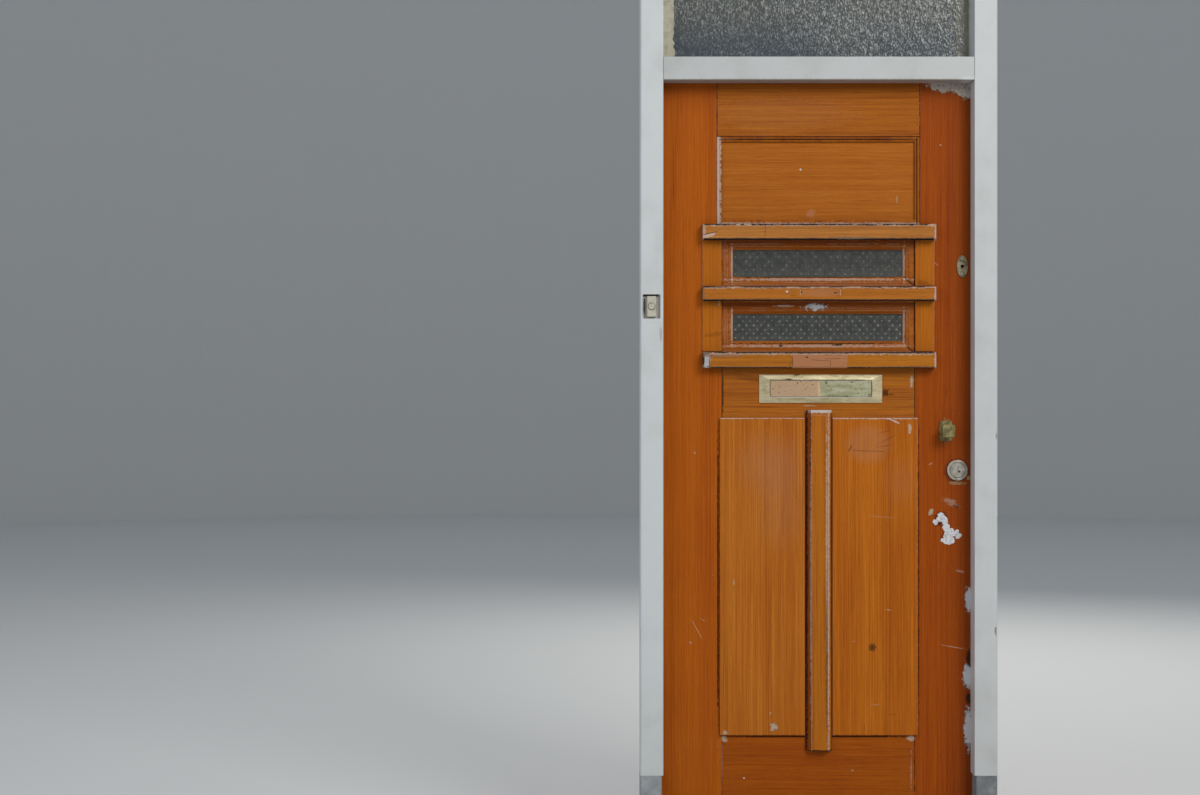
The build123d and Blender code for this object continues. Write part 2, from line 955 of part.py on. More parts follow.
ledges = {
    "upper_ledge": (upper_light_top, upper_ledge_height),
    "middle_ledge": (
        (lower_light_top + upper_light_bottom - middle_ledge_height) / 2,
        middle_ledge_height,
    ),
    "lower_ledge": (lock_rail_top - lower_ledge_height, lower_ledge_height),
}
ledge_half = lower_half + ledge_overlap
ledge_front = leaf_front - ledge_projection

for name, (z0, height) in ledges.items():
    with BuildPart() as ledge:
        with BuildSketch(Plane.YZ.offset(panel_axis - ledge_half)):
            Polygon(
                (leaf_front, z0),
                (ledge_front + drip_setback + drip_width, z0),
                (ledge_front + drip_setback + drip_width, z0 + drip_width),
                (ledge_front + drip_setback, z0 + drip_width),
                (ledge_front + drip_setback, z0),
                (ledge_front, z0),
                (ledge_front, z0 + height - ledge_bevel),
                (ledge_front + ledge_bevel, z0 + height),
                (leaf_front, z0 + height + ledge_weathering),
                align=None,
            )
        extrude(amount=2 * ledge_half)
    save(ledge, name)

strip_spans = [
    (
        ledges["middle_ledge"][0] + middle_ledge_height + ledge_weathering + strip_clearance,
        ledges["upper_ledge"][0] - strip_clearance,
    ),
    (
        ledges["lower_ledge"][0] + lower_ledge_height + ledge_weathering + strip_clearance,
        ledges["middle_ledge"][0] - strip_clearance,
    ),
]

with BuildPart() as side_strips:
    for side in (-1, 1):
        for z0, z1 in strip_spans:
            across = sorted((panel_axis + side * lower_half, panel_axis + side * ledge_half))
            block(*across, leaf_front - strip_thickness, leaf_front, z0, z1)
save(side_strips, "side_strips")

# Lights: glass between a stepped outer bead and a plain inner bead

light_glass_front = leaf_front + light_glass_setback
light_glass_back = light_glass_front + light_glass_thickness
sight_half = lower_half - light_bead_side
lights = {
    "upper": (upper_light_bottom, upper_light_top),
    "lower": (lock_rail_top, lower_light_top),
}


def light_sight(z0, z1):
    """The part of a light's opening where its glass shows."""
    middle = (z0 + z1) / 2
    return (
        panel_axis - sight_half,
        panel_axis + sight_half,
        middle - light_sight_height / 2,
        middle + light_sight_height / 2,
    )


for name, (z0, z1) in lights.items():
    light_opening = (panel_axis - lower_half, panel_axis + lower_half, z0, z1)
    sight = light_sight(z0, z1)
    with BuildPart() as light_bead:
        bead_face = leaf_front + light_bead_setback + light_bead_step
        frame_ring(light_opening, sight, bead_face, light_glass_front)
        sight_front = [
            e
            for e in light_bead.edges()
            if abs(e.center().Y - bead_face) < 0.001
            and sight[0] - 1 < e.center().X < sight[1] + 1
            and sight[2] - 1 < e.center().Z < sight[3] + 1
        ]
        chamfer(sight_front, light_bead_slope)
        frame_ring(
            light_opening,
            grown(sight, light_bead_width),
            leaf_front + light_bead_setback,
            bead_face,
        )
    save(light_bead, f"light_bead_{name}")
    with BuildPart() as light_glass:
        x0, x1, g0, g1 = grown(light_opening, -light_glass_clearance)
        block(x0, x1, light_glass_front, light_glass_back, g0, g1)
    save(light_glass, f"light_glass_{name}")

with BuildPart() as light_inner_beads:
    for z0, z1 in lights.values():
        light_opening = (panel_axis - lower_half, panel_axis + lower_half, z0, z1)
        frame_ring(
            light_opening,
            grown(light_opening, -light_bead_width),
            light_glass_back,
            leaf_back - light_bead_setback,
        )
save(light_inner_beads, "light_inner_beads")

# Letter plate: a bevelled plate over the slot, with a flap on a pin that opens inwards.

plate_front = leaf_front - letter_plate_thickness
flap_front = plate_front + letter_flap_setback
flap_back = flap_front + letter_flap_thickness
flap_top = letter_z + letter_flap_height / 2
flap_axis_y = flap_back + flap_eye_radius
flap_axis_z = flap_top - flap_eye_radius
flap_opening = (
    letter_x - flap_opening_half,
    letter_x + flap_opening_half,
    letter_z - letter_flap_height / 2 - letter_flap_gap,
    flap_top + letter_flap_gap,
)

with BuildPart() as letter_plate:
    plate_half = letter_plate_width / 2
    block(
        letter_x - plate_half,
        letter_x + plate_half,
        leaf_front - letter_plate_rim,
        leaf_front,
        letter_z - letter_plate_height / 2,
        letter_z + letter_plate_height / 2,
    )
    # The face rises from the thin rim to a crest round the flap.
    with BuildSketch(street_plane(leaf_front - letter_plate_rim)):
        with Locations((letter_x, letter_z)):
            Rectangle(letter_plate_width, letter_plate_height)
    with BuildSketch(street_plane(plate_front)):
        with Locations((letter_x, letter_z)):
            Rectangle(
                2 * (flap_opening_half + letter_plate_crest),
                letter_flap_height + 2 * (letter_flap_gap + letter_plate_crest),
            )
    loft()
    x0, x1, z0, z1 = flap_opening
    block(x0, x1, plate_front, leaf_front, z0, z1, mode=Mode.SUBTRACT)
    # Lugs for the flap's pin stand back into the slot at both ends.
    for side in (-1, 1):
        lug = sorted(
            (
                letter_x + side * flap_opening_half,
                letter_x + side * (flap_opening_half + flap_lug_thickness),
            )
        )
        block(
            *lug,
            leaf_front,
            flap_axis_y + flap_eye_radius,
            flap_axis_z - flap_eye_radius,
            flap_axis_z + flap_eye_radius,
        )
        # Threaded bosses behind the plate take the bolts.
        rod(
            (letter_x + side * letter_bolt_x, leaf_front, letter_z), (0, 1, 0), boss_radius,
            boss_length,
        )
        rod(
            (letter_x + side * letter_bolt_x, leaf_front - letter_plate_rim / 2, letter_z),
            (0, 1, 0),
            through_bolt_radius,
            letter_plate_rim / 2 + boss_length,
            mode=Mode.SUBTRACT,
        )
    rod(
        (letter_x - flap_opening_half - flap_lug_thickness, flap_axis_y, flap_axis_z),
        (1, 0, 0),
        flap_pin_radius,
        2 * (flap_opening_half + flap_lug_thickness),
        mode=Mode.SUBTRACT,
    )
save(letter_plate, "letter_plate")

with BuildPart() as letter_flap:
    block(
        letter_x - flap_half,
        letter_x + flap_half,
        flap_front,
        flap_back,
        letter_z - letter_flap_height / 2,
        flap_top,
    )
    face_edges = [e for e in letter_flap.edges() if abs(e.center().Y - flap_front) < 0.001]
    chamfer(face_edges, letter_flap_bevel)
    for side in (-1, 1):
        start = letter_x + side * flap_half - (flap_eye_length if side > 0 else 0)
        rod((start, flap_axis_y, flap_axis_z), (1, 0, 0), flap_eye_radius, flap_eye_length)
        # A web joins the eye to the back of the flap.
        block(
            start,
            start + flap_eye_length,
            flap_front + letter_flap_bevel,
            flap_axis_y,
            flap_axis_z - flap_eye_radius,
            flap_axis_z,
        )
    rod(
        (letter_x - flap_half, flap_axis_y, flap_axis_z),
        (1, 0, 0),
        flap_pin_radius + running_fit,
        2 * flap_half,
        mode=Mode.SUBTRACT,
    )
save(letter_flap, "letter_flap")

with BuildPart() as flap_pin:
    rod(
        (letter_x - flap_opening_half - flap_lug_thickness, flap_axis_y, flap_axis_z),
        (1, 0, 0),
        flap_pin_radius,
        2 * (flap_opening_half + flap_lug_thickness),
    )
save(flap_pin, "flap_pin")

with BuildPart() as flap_spring:
    spring_start = letter_x - flap_half + flap_eye_length + moving_gap
    rod(
        (spring_start, flap_axis_y, flap_axis_z), (1, 0, 0), flap_eye_radius - moving_gap,
        flap_spring_length,
    )
    rod(
        (spring_start, flap_axis_y, flap_axis_z), (1, 0, 0), flap_pin_radius, flap_spring_length,
        mode=Mode.SUBTRACT,
    )
save(flap_spring, "flap_spring")

with BuildPart() as through_bolts:
    for x, z in through_bolts_at[:2]:
        rod(
            (x, leaf_front - letter_plate_rim / 2, z),
            (0, 1, 0),
            through_bolt_radius,
            letter_plate_rim / 2 + leaf_thickness + nut_thickness + bolt_end,
        )
    rod(
        (knob_x, leaf_front - knob_plate_thickness - knob_neck_radius, knob_z),
        (0, 1, 0),
        through_bolt_radius,
        knob_neck_radius + knob_plate_thickness + leaf_thickness + nut_thickness + bolt_end,
    )
    for x, z in through_bolts_at:
        with BuildSketch(street_plane(leaf_back)):
            with Locations((x, z)):
                RegularPolygon(nut_size / 2, 6, major_radius=False)
                Circle(through_bolt_radius + running_fit, mode=Mode.SUBTRACT)
        extrude(amount=-nut_thickness)
save(through_bolts, "through_bolts")

# Pull knob: one casting, with plate, waisted neck and square head

with BuildPart() as pull_knob:
    knob_plate_front = leaf_front - knob_plate_thickness
    knob_head_back = leaf_front - knob_projection + knob_thickness
    block(
        knob_x - knob_plate_width / 2,
        knob_x + knob_plate_width / 2,
        knob_plate_front,
        leaf_front,
        knob_z - knob_plate_height / 2,
        knob_z + knob_plate_height / 2,
    )
    chamfer(
        [e for e in pull_knob.edges() if abs(e.center().Y - knob_plate_front) < 0.001],
        knob_plate_bevel,
    )
    with BuildSketch(street_plane(knob_head_back)):
        with Locations((knob_x, knob_z)):
            RectangleRounded(knob_size, knob_size, knob_corner)
    extrude(amount=knob_thickness)
    fillet(
        [
            e
            for e in pull_knob.edges()
            if abs(e.center().Y - knob_head_back) < 0.001
            or abs(e.center().Y - knob_head_back + knob_thickness) < 0.001
        ],
        knob_round,
    )
    rod(
        (knob_x, knob_head_back - knob_thickness / 2, knob_z),
        (0, 1, 0),
        knob_neck_radius,
        knob_plate_front - knob_head_back + knob_thickness / 2,
    )
    rod(
        (knob_x, leaf_front - knob_plate_thickness - knob_neck_radius, knob_z),
        (0, 1, 0),
        through_bolt_radius,
        knob_plate_thickness + knob_neck_radius,
        mode=Mode.SUBTRACT,
    )
save(pull_knob, "pull_knob")

# Night latch: rose and cylinder outside, case inside, with bolt, crank, snib and spring

turned_plane = Plane(origin=(lock_x, leaf_front, lock_z), x_dir=(1, 0, 0), z_dir=(0, 0, 1))
cylinder_front = leaf_front - cylinder_head_proud
cylinder_back = leaf_front + cylinder_depth

with BuildPart() as cylinder_rose:
    with BuildSketch(turned_plane):
        Polygon(
            (cylinder_radius + cylinder_hole_play / 2, 0),
            (rose_radius, 0),
            (rose_radius, -rose_edge),
            (rose_crest_radius, -rose_crest_height),
            (rose_quirk_radius, -rose_quirk_height),
            (rose_face_radius, -rose_thickness),
            (cylinder_head_radius + running_fit, -rose_thickness),
            (cylinder_head_radius + running_fit, -rose_floor),
            (cylinder_radius + cylinder_hole_play / 2, -rose_floor),
            align=None,
        )
    revolve(axis=Axis((lock_x, leaf_front, lock_z), (0, 1, 0)))
save(cylinder_rose, "cylinder_rose")

with BuildPart() as cylinder_body:
    with BuildSketch(turned_plane):
        Polygon(
            (plug_radius + running_fit, -cylinder_head_proud),
            (cylinder_head_radius - cylinder_head_bevel, -cylinder_head_proud),
            (cylinder_head_radius, -cylinder_head_proud + cylinder_head_bevel),
            (cylinder_head_radius, -rose_floor),
            (cylinder_radius, -rose_floor),
            (cylinder_radius, cylinder_depth),
            (plug_radius + running_fit, cylinder_depth),
            align=None,
        )
    revolve(axis=Axis((lock_x, leaf_front, lock_z), (0, 1, 0)))
    for head_at, outwards in cylinder_screws:
        rod(
            (head_at[0], head_at[1] - cylinder_screw_length, head_at[2]),
            (0, 1, 0),
            screw_radius + screw_play,
            cylinder_screw_length,
            mode=Mode.SUBTRACT,
        )
save(cylinder_body, "cylinder_body")

latch_bolt_front = latch_plate_back + latch_bolt_stand_off
latch_bolt_back = latch_bolt_front + latch_bolt_thickness
case_inner_front = case_front - latch_wall
crank_radius = latch_throw / 2 / math.sin(math.radians(latch_turn / 2))
crank_low = crank_radius * math.cos(math.radians(latch_turn / 2))
arm_back = latch_bolt_front + latch_arm_thickness
crank_front = arm_back + moving_gap
hub_front = latch_bolt_front + hub_setback
tail_bar_end = crank_front + crank_thickness / 2
turn_knob_front = case_front + turn_knob_stand_off
turn_knob_back = turn_knob_front + turn_knob_thickness
grip_front = turn_knob_front + turn_knob_base

with BuildPart() as cylinder_plug:
    rod((lock_x, cylinder_front, lock_z), (0, 1, 0), plug_radius, cylinder_back - cylinder_front)
    block(
        lock_x - keyway_width / 2,
        lock_x + keyway_width / 2,
        cylinder_front,
        cylinder_front + keyway_depth,
        lock_z + keyway_rise - keyway_height,
        lock_z + keyway_rise,
        mode=Mode.SUBTRACT,
    )
    block(
        lock_x - tail_bar_thickness / 2,
        lock_x + tail_bar_thickness / 2,
        cylinder_back,
        tail_bar_end,
        lock_z - tail_bar_width / 2,
        lock_z + tail_bar_width / 2,
    )
save(cylinder_plug, "cylinder_plug")

with BuildPart() as latch_back_plate:
    plate_play = latch_wall + latch_plate_play
    block(
        case_left + plate_play,
        leaf_x - plate_play,
        leaf_back,
        latch_plate_back,
        lock_z - latch_case_half_height + plate_play,
        lock_z + latch_case_half_height - plate_play,
    )
    rod(
        (lock_x, leaf_back, lock_z),
        (0, 1, 0),
        tail_bar_width / 2 + tail_bar_play,
        latch_plate_thickness,
        mode=Mode.SUBTRACT,
    )
    for head_at, outwards in cylinder_screws:
        screw(head_at, outwards, screw_head_depth * 2, grow=screw_play, mode=Mode.SUBTRACT)
    for x, z in case_posts:
        rod(
            (x, leaf_back, z), (0, 1, 0), screw_head_radius + screw_play, latch_plate_thickness,
            mode=Mode.SUBTRACT,
        )
save(latch_back_plate, "latch_back_plate")

arm_bottom = lock_z + hub_radius + latch_arm_clearance
arm_top = lock_z + crank_radius + crank_pin_radius + moving_gap + latch_arm_margin
arm_left = lock_x - latch_throw
bolt_head_left = lock_x + hub_radius + crank_width / 2 + latch_head_clearance
bolt_tip = leaf_x - bolt_inset
bolt_bottom = lock_z - latch_bolt_height / 2
bolt_top = lock_z + latch_bolt_height / 2
slot_half = crank_pin_radius + moving_gap
pin_rest_x = lock_x - latch_throw / 2
snib_x = leaf_x - snib_inset
snib_z = lock_z + snib_rise
snib_slot_half = snib_pin_radius + moving_gap
groove_front = latch_bolt_back - snib_groove_depth

with BuildPart() as latch_bolt:
    block(bolt_head_left, bolt_tip, latch_bolt_front, latch_bolt_back, bolt_bottom, bolt_top)
    # The nose is bevelled on the side that meets the keeper first.
    nose = [e for e in edges_at(latch_bolt, Axis.Z, latch_bolt_back) if e.center().X > snib_x]
    chamfer(nose, latch_bolt_nose)
    # A flat arm reaches back over the hub; the crank's pin works in its slot.
    block(arm_left, bolt_head_left + latch_arm_root, latch_bolt_front, arm_back, arm_bottom, arm_top)
    block(
        pin_rest_x - slot_half,
        pin_rest_x + slot_half,
        latch_bolt_front,
        arm_back,
        arm_bottom,
        lock_z + crank_radius + slot_half,
        mode=Mode.SUBTRACT,
    )
    # The snib's pin runs in a groove, and drops into a notch at either end of the throw.
    block(
        snib_x - latch_throw - snib_slot_half,
        snib_x + snib_slot_half,
        groove_front,
        latch_bolt_back,
        snib_z - snib_slot_half,
        snib_z + snib_slot_half,
        mode=Mode.SUBTRACT,
    )
    for x in (snib_x, snib_x - latch_throw):
        block(
            x - snib_slot_half,
            x + snib_slot_half,
            groove_front,
            latch_bolt_back,
            snib_z - snib_travel - snib_slot_half,
            snib_z,
            mode=Mode.SUBTRACT,
        )
save(latch_bolt, "latch_bolt")

with BuildPart() as turn_knob:
    rod(
        (lock_x, hub_front, lock_z), (0, 1, 0), hub_radius, case_inner_front - moving_gap - hub_front
    )
    rod((lock_x, hub_front, lock_z), (0, 1, 0), spindle_radius, grip_front - hub_front)
    with BuildSketch(street_plane(turn_knob_front)):
        with Locations((lock_x, lock_z)):
            Circle(turn_knob_radius)
    extrude(amount=-turn_knob_thickness)
    fillet(
        [e for e in turn_knob.edges() if abs(e.center().Y - turn_knob_back) < 0.001], turn_knob_round
    )
    # Two flats cut across the round leave a bar to grip.
    for side in (-1, 1):
        grip = sorted((lock_x + side * crank_width / 2, lock_x + side * turn_knob_radius))
        block(
            *grip,
            grip_front,
            turn_knob_back,
            lock_z - turn_knob_radius,
            lock_z + turn_knob_radius,
            mode=Mode.SUBTRACT,
        )
    # The crank stands off the hub and carries a pin that points back into the bolt's arm.
    crank_angle = latch_turn / 2
    with BuildSketch(street_plane(crank_front)):
        with Locations(Location((lock_x, lock_z), crank_angle)):
            with Locations((0, crank_radius / 2)):
                SlotOverall(crank_radius + crank_width, crank_width, rotation=90)
    extrude(amount=-crank_thickness)
    rod(
        (pin_rest_x, hub_front, lock_z + crank_low), (0, 1, 0), crank_pin_radius,
        crank_front - hub_front,
    )
    block(
        lock_x - tail_bar_thickness / 2 - latch_plate_play,
        lock_x + tail_bar_thickness / 2 + latch_plate_play,
        hub_front,
        tail_bar_end + tail_bar_play,
        lock_z - tail_bar_width / 2 - latch_plate_play,
        lock_z + tail_bar_width / 2 + latch_plate_play,
        mode=Mode.SUBTRACT,
    )
save(turn_knob, "turn_knob")

with BuildPart() as latch_case:
    block(
        case_left,
        leaf_x,
        leaf_back,
        case_front,
        lock_z - latch_case_half_height,
        lock_z + latch_case_half_height,
    )
    front_edges = [e for e in latch_case.edges() if abs(e.center().Y - case_front) < 0.001]
    fillet(front_edges, latch_case_round)
    block(
        case_left + latch_wall,
        leaf_x - latch_wall,
        leaf_back,
        case_inner_front,
        lock_z - latch_case_half_height + latch_wall,
        lock_z + latch_case_half_height - latch_wall,
        mode=Mode.SUBTRACT,
    )
    for x, z in case_posts:
        rod((x, leaf_back, z), (0, 1, 0), screw_head_radius, case_front - leaf_back - latch_wall / 2)
    for head_at, outwards in case_screws:
        screw(head_at, outwards, latch_case_depth, grow=screw_play, mode=Mode.SUBTRACT)
    # The bolt's doorway, the spindle's bearing and the snib's slot
    block(
        leaf_x - latch_wall,
        leaf_x,
        latch_bolt_front - moving_gap,
        latch_bolt_back + moving_gap,
        bolt_bottom - moving_gap,
        bolt_top + moving_gap,
        mode=Mode.SUBTRACT,
    )
    rod(
        (lock_x, case_inner_front, lock_z), (0, 1, 0), spindle_radius + running_fit, latch_wall,
        mode=Mode.SUBTRACT,
    )
    block(
        snib_x - snib_slot_half,
        snib_x + snib_slot_half,
        case_inner_front,
        case_front,
        snib_z - snib_travel - snib_slot_half,
        snib_z + snib_slot_half,
        mode=Mode.SUBTRACT,
    )
save(latch_case, "latch_case")

with BuildPart() as snib:
    snib_front = case_front + running_fit
    snib_back = snib_front + snib_thickness
    block(
        snib_x - snib_width / 2,
        snib_x + snib_width / 2,
        snib_front,
        snib_back,
        snib_z - snib_length / 2,
        snib_z + snib_length / 2,
    )
    chamfer(edges_at(snib, Axis.X, snib_back), snib_bevel)
    rod(
        (snib_x, groove_front + moving_gap, snib_z), (0, 1, 0), snib_pin_radius,
        snib_back - snib_bevel - groove_front - moving_gap,
    )
save(snib, "snib")

with BuildPart() as latch_spring:
    spring_z = arm_bottom + latch_spring_radius
    spring_y = (latch_bolt_front + arm_back) / 2
    spring_from = case_left + latch_wall
    rod((spring_from, spring_y, spring_z), (1, 0, 0), latch_spring_radius, arm_left - spring_from)
    rod(
        (spring_from, spring_y, spring_z),
        (1, 0, 0),
        latch_spring_radius - latch_spring_wall,
        arm_left - spring_from,
        mode=Mode.SUBTRACT,
    )
save(latch_spring, "latch_spring")



def keeper(z, half_height, front, screw_places):
    """A box with two ears on the room side of the jamb, open towards the leaf."""
    right = rebate_x + keeper_width
    block(
        rebate_x,
        right,
        leaf_back,
        leaf_back + keeper_ear_thickness,
        z - half_height - keeper_ear,
        z + half_height + keeper_ear,
    )
    block(rebate_x, right, leaf_back, front, z - half_height, z + half_height)
    block(
        rebate_x,
        right - latch_wall,
        leaf_back,
        front - latch_wall,
        z - half_height + latch_wall,
        z + half_height - latch_wall,
        mode=Mode.SUBTRACT,
    )
    for head_at, outwards in screw_places:
        screw(head_at, outwards, screw_length, grow=screw_play, mode=Mode.SUBTRACT)


with BuildPart() as latch_keeper:
    keeper(lock_z, latch_case_half_height, case_front, keeper_screws)
save(latch_keeper, "latch_keeper")

# Upper bolt: case and keeper on the room side, sliding bolt, oval plate outside

with BuildPart() as bolt_keeper:
    keeper(upper_bolt_z, upper_case_half, upper_case_front, bolt_keeper_screws)
save(bolt_keeper, "bolt_keeper")

with BuildPart() as upper_bolt_case:
    block(
        upper_case_left,
        leaf_x,
        leaf_back,
        upper_case_front,
        upper_bolt_z - upper_case_half,
        upper_bolt_z + upper_case_half,
    )
    front_edges = [
        e for e in upper_bolt_case.edges() if abs(e.center().Y - upper_case_front) < 0.001
    ]
    fillet(front_edges, upper_case_round)
    block(
        upper_case_left,
        leaf_x,
        leaf_back,
        leaf_back + keeper_ear_thickness,
        upper_bolt_z - upper_case_half - keeper_ear,
        upper_bolt_z + upper_case_half + keeper_ear,
    )
    block(
        upper_bolt_tip - upper_bolt_length,
        leaf_x,
        upper_bolt_front - moving_gap,
        upper_bolt_back + moving_gap,
        upper_bolt_z - upper_bolt_half - moving_gap,
        upper_bolt_z + upper_bolt_half + moving_gap,
        mode=Mode.SUBTRACT,
    )
    # The key's bit swings round in a hollow behind the bolt's tail.
    rod(
        (keyhole_x, upper_bolt_front - moving_gap, upper_bolt_z), (0, 1, 0), key_bit_reach,
        upper_bolt_thickness + 2 * moving_gap, mode=Mode.SUBTRACT,
    )
    rod(
        (keyhole_x, leaf_back, upper_bolt_z), (0, 1, 0), key_hole_radius, upper_case_thickness,
        mode=Mode.SUBTRACT,
    )
    for head_at, outwards in upper_case_screws:
        screw(head_at, outwards, screw_length, grow=screw_play, mode=Mode.SUBTRACT)
save(upper_bolt_case, "upper_bolt_case")

with BuildPart() as upper_bolt:
    block(
        upper_bolt_tip - upper_bolt_length,
        upper_bolt_tip,
        upper_bolt_front,
        upper_bolt_back,
        upper_bolt_z - upper_bolt_half,
        upper_bolt_z + upper_bolt_half,
    )
    chamfer(upper_bolt.edges().group_by(Axis.X)[-1], upper_bolt_bevel)
save(upper_bolt, "upper_bolt")

with BuildPart() as oval_plate:
    with BuildSketch(street_plane(leaf_front)):
        with Locations((keyhole_x, upper_bolt_z)):
            Ellipse(oval_plate_width / 2, oval_plate_height / 2)
            Circle(key_hole_radius, mode=Mode.SUBTRACT)
    extrude(amount=oval_plate_thickness)
    for head_at, outwards in oval_screws:
        screw(head_at, outwards, oval_plate_thickness * 2, grow=screw_play, mode=Mode.SUBTRACT)
save(oval_plate, "oval_plate")

# Hinges: three butts, each with five knuckles on one pin

knuckle_length = hinge_height / knuckle_count


def hinge_halves(plate_x0, plate_x1, numbers, bore, screw_places):
    """The plates of one side of the hinges, with the knuckles whose numbers are given."""
    for z in hinge_heights:
        bottom = z - hinge_height / 2
        block(plate_x0, plate_x1, hinge_plate_front, leaf_back, bottom, bottom + hinge_height)
        for number in numbers:
            z0 = bottom + number * knuckle_length + hinge_knuckle_gap / 2
            z1 = bottom + (number + 1) * knuckle_length - hinge_knuckle_gap / 2
            block(plate_x0, plate_x1, leaf_back, knuckle_axis_y, z0, z1)
            rod((knuckle_axis_x, knuckle_axis_y, z0), (0, 0, 1), hinge_knuckle_radius, z1 - z0)
        rod(
            (knuckle_axis_x, knuckle_axis_y, bottom), (0, 0, 1), bore, hinge_height,
            mode=Mode.SUBTRACT,
        )
    for head_at, outwards in screw_places:
        screw(head_at, outwards, screw_head_depth * 2, grow=screw_play, mode=Mode.SUBTRACT)


with BuildPart() as hinge_jamb_halves:
    hinge_halves(
        -rebate_x - hinge_plate_thickness, -rebate_x, range(0, knuckle_count, 2), hinge_pin_radius,
        jamb_hinge_screws,
    )
save(hinge_jamb_halves, "hinge_jamb_halves")

with BuildPart() as hinge_leaf_halves:
    hinge_halves(
        -leaf_x, -leaf_x + hinge_plate_thickness, range(1, knuckle_count, 2),
        hinge_pin_radius + running_fit, leaf_hinge_screws,
    )
save(hinge_leaf_halves, "hinge_leaf_halves")

with BuildPart() as hinge_pins:
    for z in hinge_heights:
        rod(
            (knuckle_axis_x, knuckle_axis_y, z - hinge_height / 2), (0, 0, 1), hinge_pin_radius,
            hinge_height,
        )
        with Locations((knuckle_axis_x, knuckle_axis_y, z + hinge_height / 2)):
            Cylinder(
                hinge_knuckle_radius, hinge_pin_head, align=(Align.CENTER, Align.CENTER, Align.MIN)
            )
save(hinge_pins, "hinge_pins")

with BuildPart() as frame_screws:
    for head_at, outwards in jamb_hinge_screws + keeper_screws + bolt_keeper_screws:
        screw(head_at, outwards, screw_length)
save(frame_screws, "frame_screws")

with BuildPart() as leaf_screws:
    for head_at, outwards in leaf_hinge_screws + upper_case_screws:
        screw(head_at, outwards, screw_length)
    for head_at, outwards in oval_screws:
        screw(head_at, outwards, oval_screw_length)
    for head_at, outwards in case_screws:
        screw(head_at, outwards, case_screw_length)
    for head_at, outwards in cylinder_screws:
        screw(head_at, outwards, cylinder_screw_length)
save(leaf_screws, "leaf_screws")

# Bell push: a cast body let into the left jamb, with a button that is pressed in

bell_front = -bell_proud
flange_radius = bell_button_radius + bell_flange_spread

with BuildPart() as bell_body:
    with BuildSketch(street_plane(bell_pocket_depth)):
        with Locations((bell_x, bell_height)):
            Rectangle(bell_width, bell_length)
    extrude(amount=bell_pocket_depth + bell_proud)
    fillet([e for e in bell_body.edges() if abs(e.center().Y - bell_front) < 0.001], bell_round)
    rod(
        (bell_x, bell_front, bell_height), (0, 1, 0), bell_button_radius + moving_gap, bell_wall,
        mode=Mode.SUBTRACT,
    )
    rod(
        (bell_x, bell_front + bell_wall, bell_height),
        (0, 1, 0),
        flange_radius + moving_gap,
        bell_flange + bell_press + 2 * moving_gap,
        mode=Mode.SUBTRACT,
    )
save(bell_body, "bell_body")

with BuildPart() as bell_button:
    button_front = bell_front - bell_button_proud
    flange_front = bell_front + bell_wall + moving_gap / 2
    rod(
        (bell_x, button_front, bell_height), (0, 1, 0), bell_button_radius,
        flange_front + bell_flange - button_front,
    )
    fillet(
        [e for e in bell_button.edges() if abs(e.center().Y - button_front) < 0.001],
        bell_button_round,
    )
    rod((bell_x, flange_front, bell_height), (0, 1, 0), flange_radius, bell_flange)
save(bell_button, "bell_button")
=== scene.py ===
import logging
import math
from collections.abc import Iterator, Sequence
from contextlib import contextmanager
from dataclasses import dataclass, replace
from enum import Enum

import bpy
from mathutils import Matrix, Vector


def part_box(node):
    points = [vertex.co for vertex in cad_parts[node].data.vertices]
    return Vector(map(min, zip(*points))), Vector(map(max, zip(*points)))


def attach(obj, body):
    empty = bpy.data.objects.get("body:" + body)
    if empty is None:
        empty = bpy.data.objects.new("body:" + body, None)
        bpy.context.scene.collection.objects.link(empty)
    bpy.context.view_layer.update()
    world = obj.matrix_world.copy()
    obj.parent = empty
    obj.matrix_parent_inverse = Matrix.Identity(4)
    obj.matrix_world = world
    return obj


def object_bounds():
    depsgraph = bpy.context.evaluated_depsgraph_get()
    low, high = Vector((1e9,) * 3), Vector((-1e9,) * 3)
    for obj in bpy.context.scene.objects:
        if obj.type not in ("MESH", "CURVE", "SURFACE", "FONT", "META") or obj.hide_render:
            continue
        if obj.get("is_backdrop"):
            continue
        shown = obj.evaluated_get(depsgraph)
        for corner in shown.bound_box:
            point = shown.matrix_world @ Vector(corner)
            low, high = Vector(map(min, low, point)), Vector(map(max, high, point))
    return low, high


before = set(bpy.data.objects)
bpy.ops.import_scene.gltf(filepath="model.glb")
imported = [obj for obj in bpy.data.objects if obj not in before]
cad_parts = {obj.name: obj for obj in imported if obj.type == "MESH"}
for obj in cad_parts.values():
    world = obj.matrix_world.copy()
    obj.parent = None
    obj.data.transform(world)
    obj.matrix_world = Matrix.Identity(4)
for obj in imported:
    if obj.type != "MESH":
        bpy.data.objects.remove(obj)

LOG = logging.getLogger("front_door")
STREET_DEPTH = 0.070  # halfway through the leaf: marks show in front of it only
STREET_BLEND = 0.004
MARK_DEPTH = 1000.0  # a mark reaches through the whole leaf
MARK_TEAR = 5.0  # how far the noise can tear a mark's outline, at a raggedness of 1
SMOOTH_ANGLE = math.radians(40.0)
QUARTER_TURN = math.radians(90.0)
HALF_TURN = math.radians(180.0)

Colour = tuple[float, float, float]
Point = tuple[float, float, float]
Box = tuple[Vector, Vector]


def srgb(red: int, green: int, blue: int) -> Colour:
    """Turns a display colour into the linear one that shaders take.

    Args:
        red, green, blue: the display colour, each from 0 to 255.

    Returns:
        The linear colour.
    """
    shares = [value / 255 for value in (red, green, blue)]
    return tuple(c / 12.92 if c < 0.04045 else ((c + 0.055) / 1.055) ** 2.4 for c in shares)


class Grain(Enum):
    """Which way the wood of a piece runs, as the stretch of its pattern."""

    UPRIGHT = (1.0, 1.0, 0.006)
    LEVEL = (0.009, 1.0, 1.0)


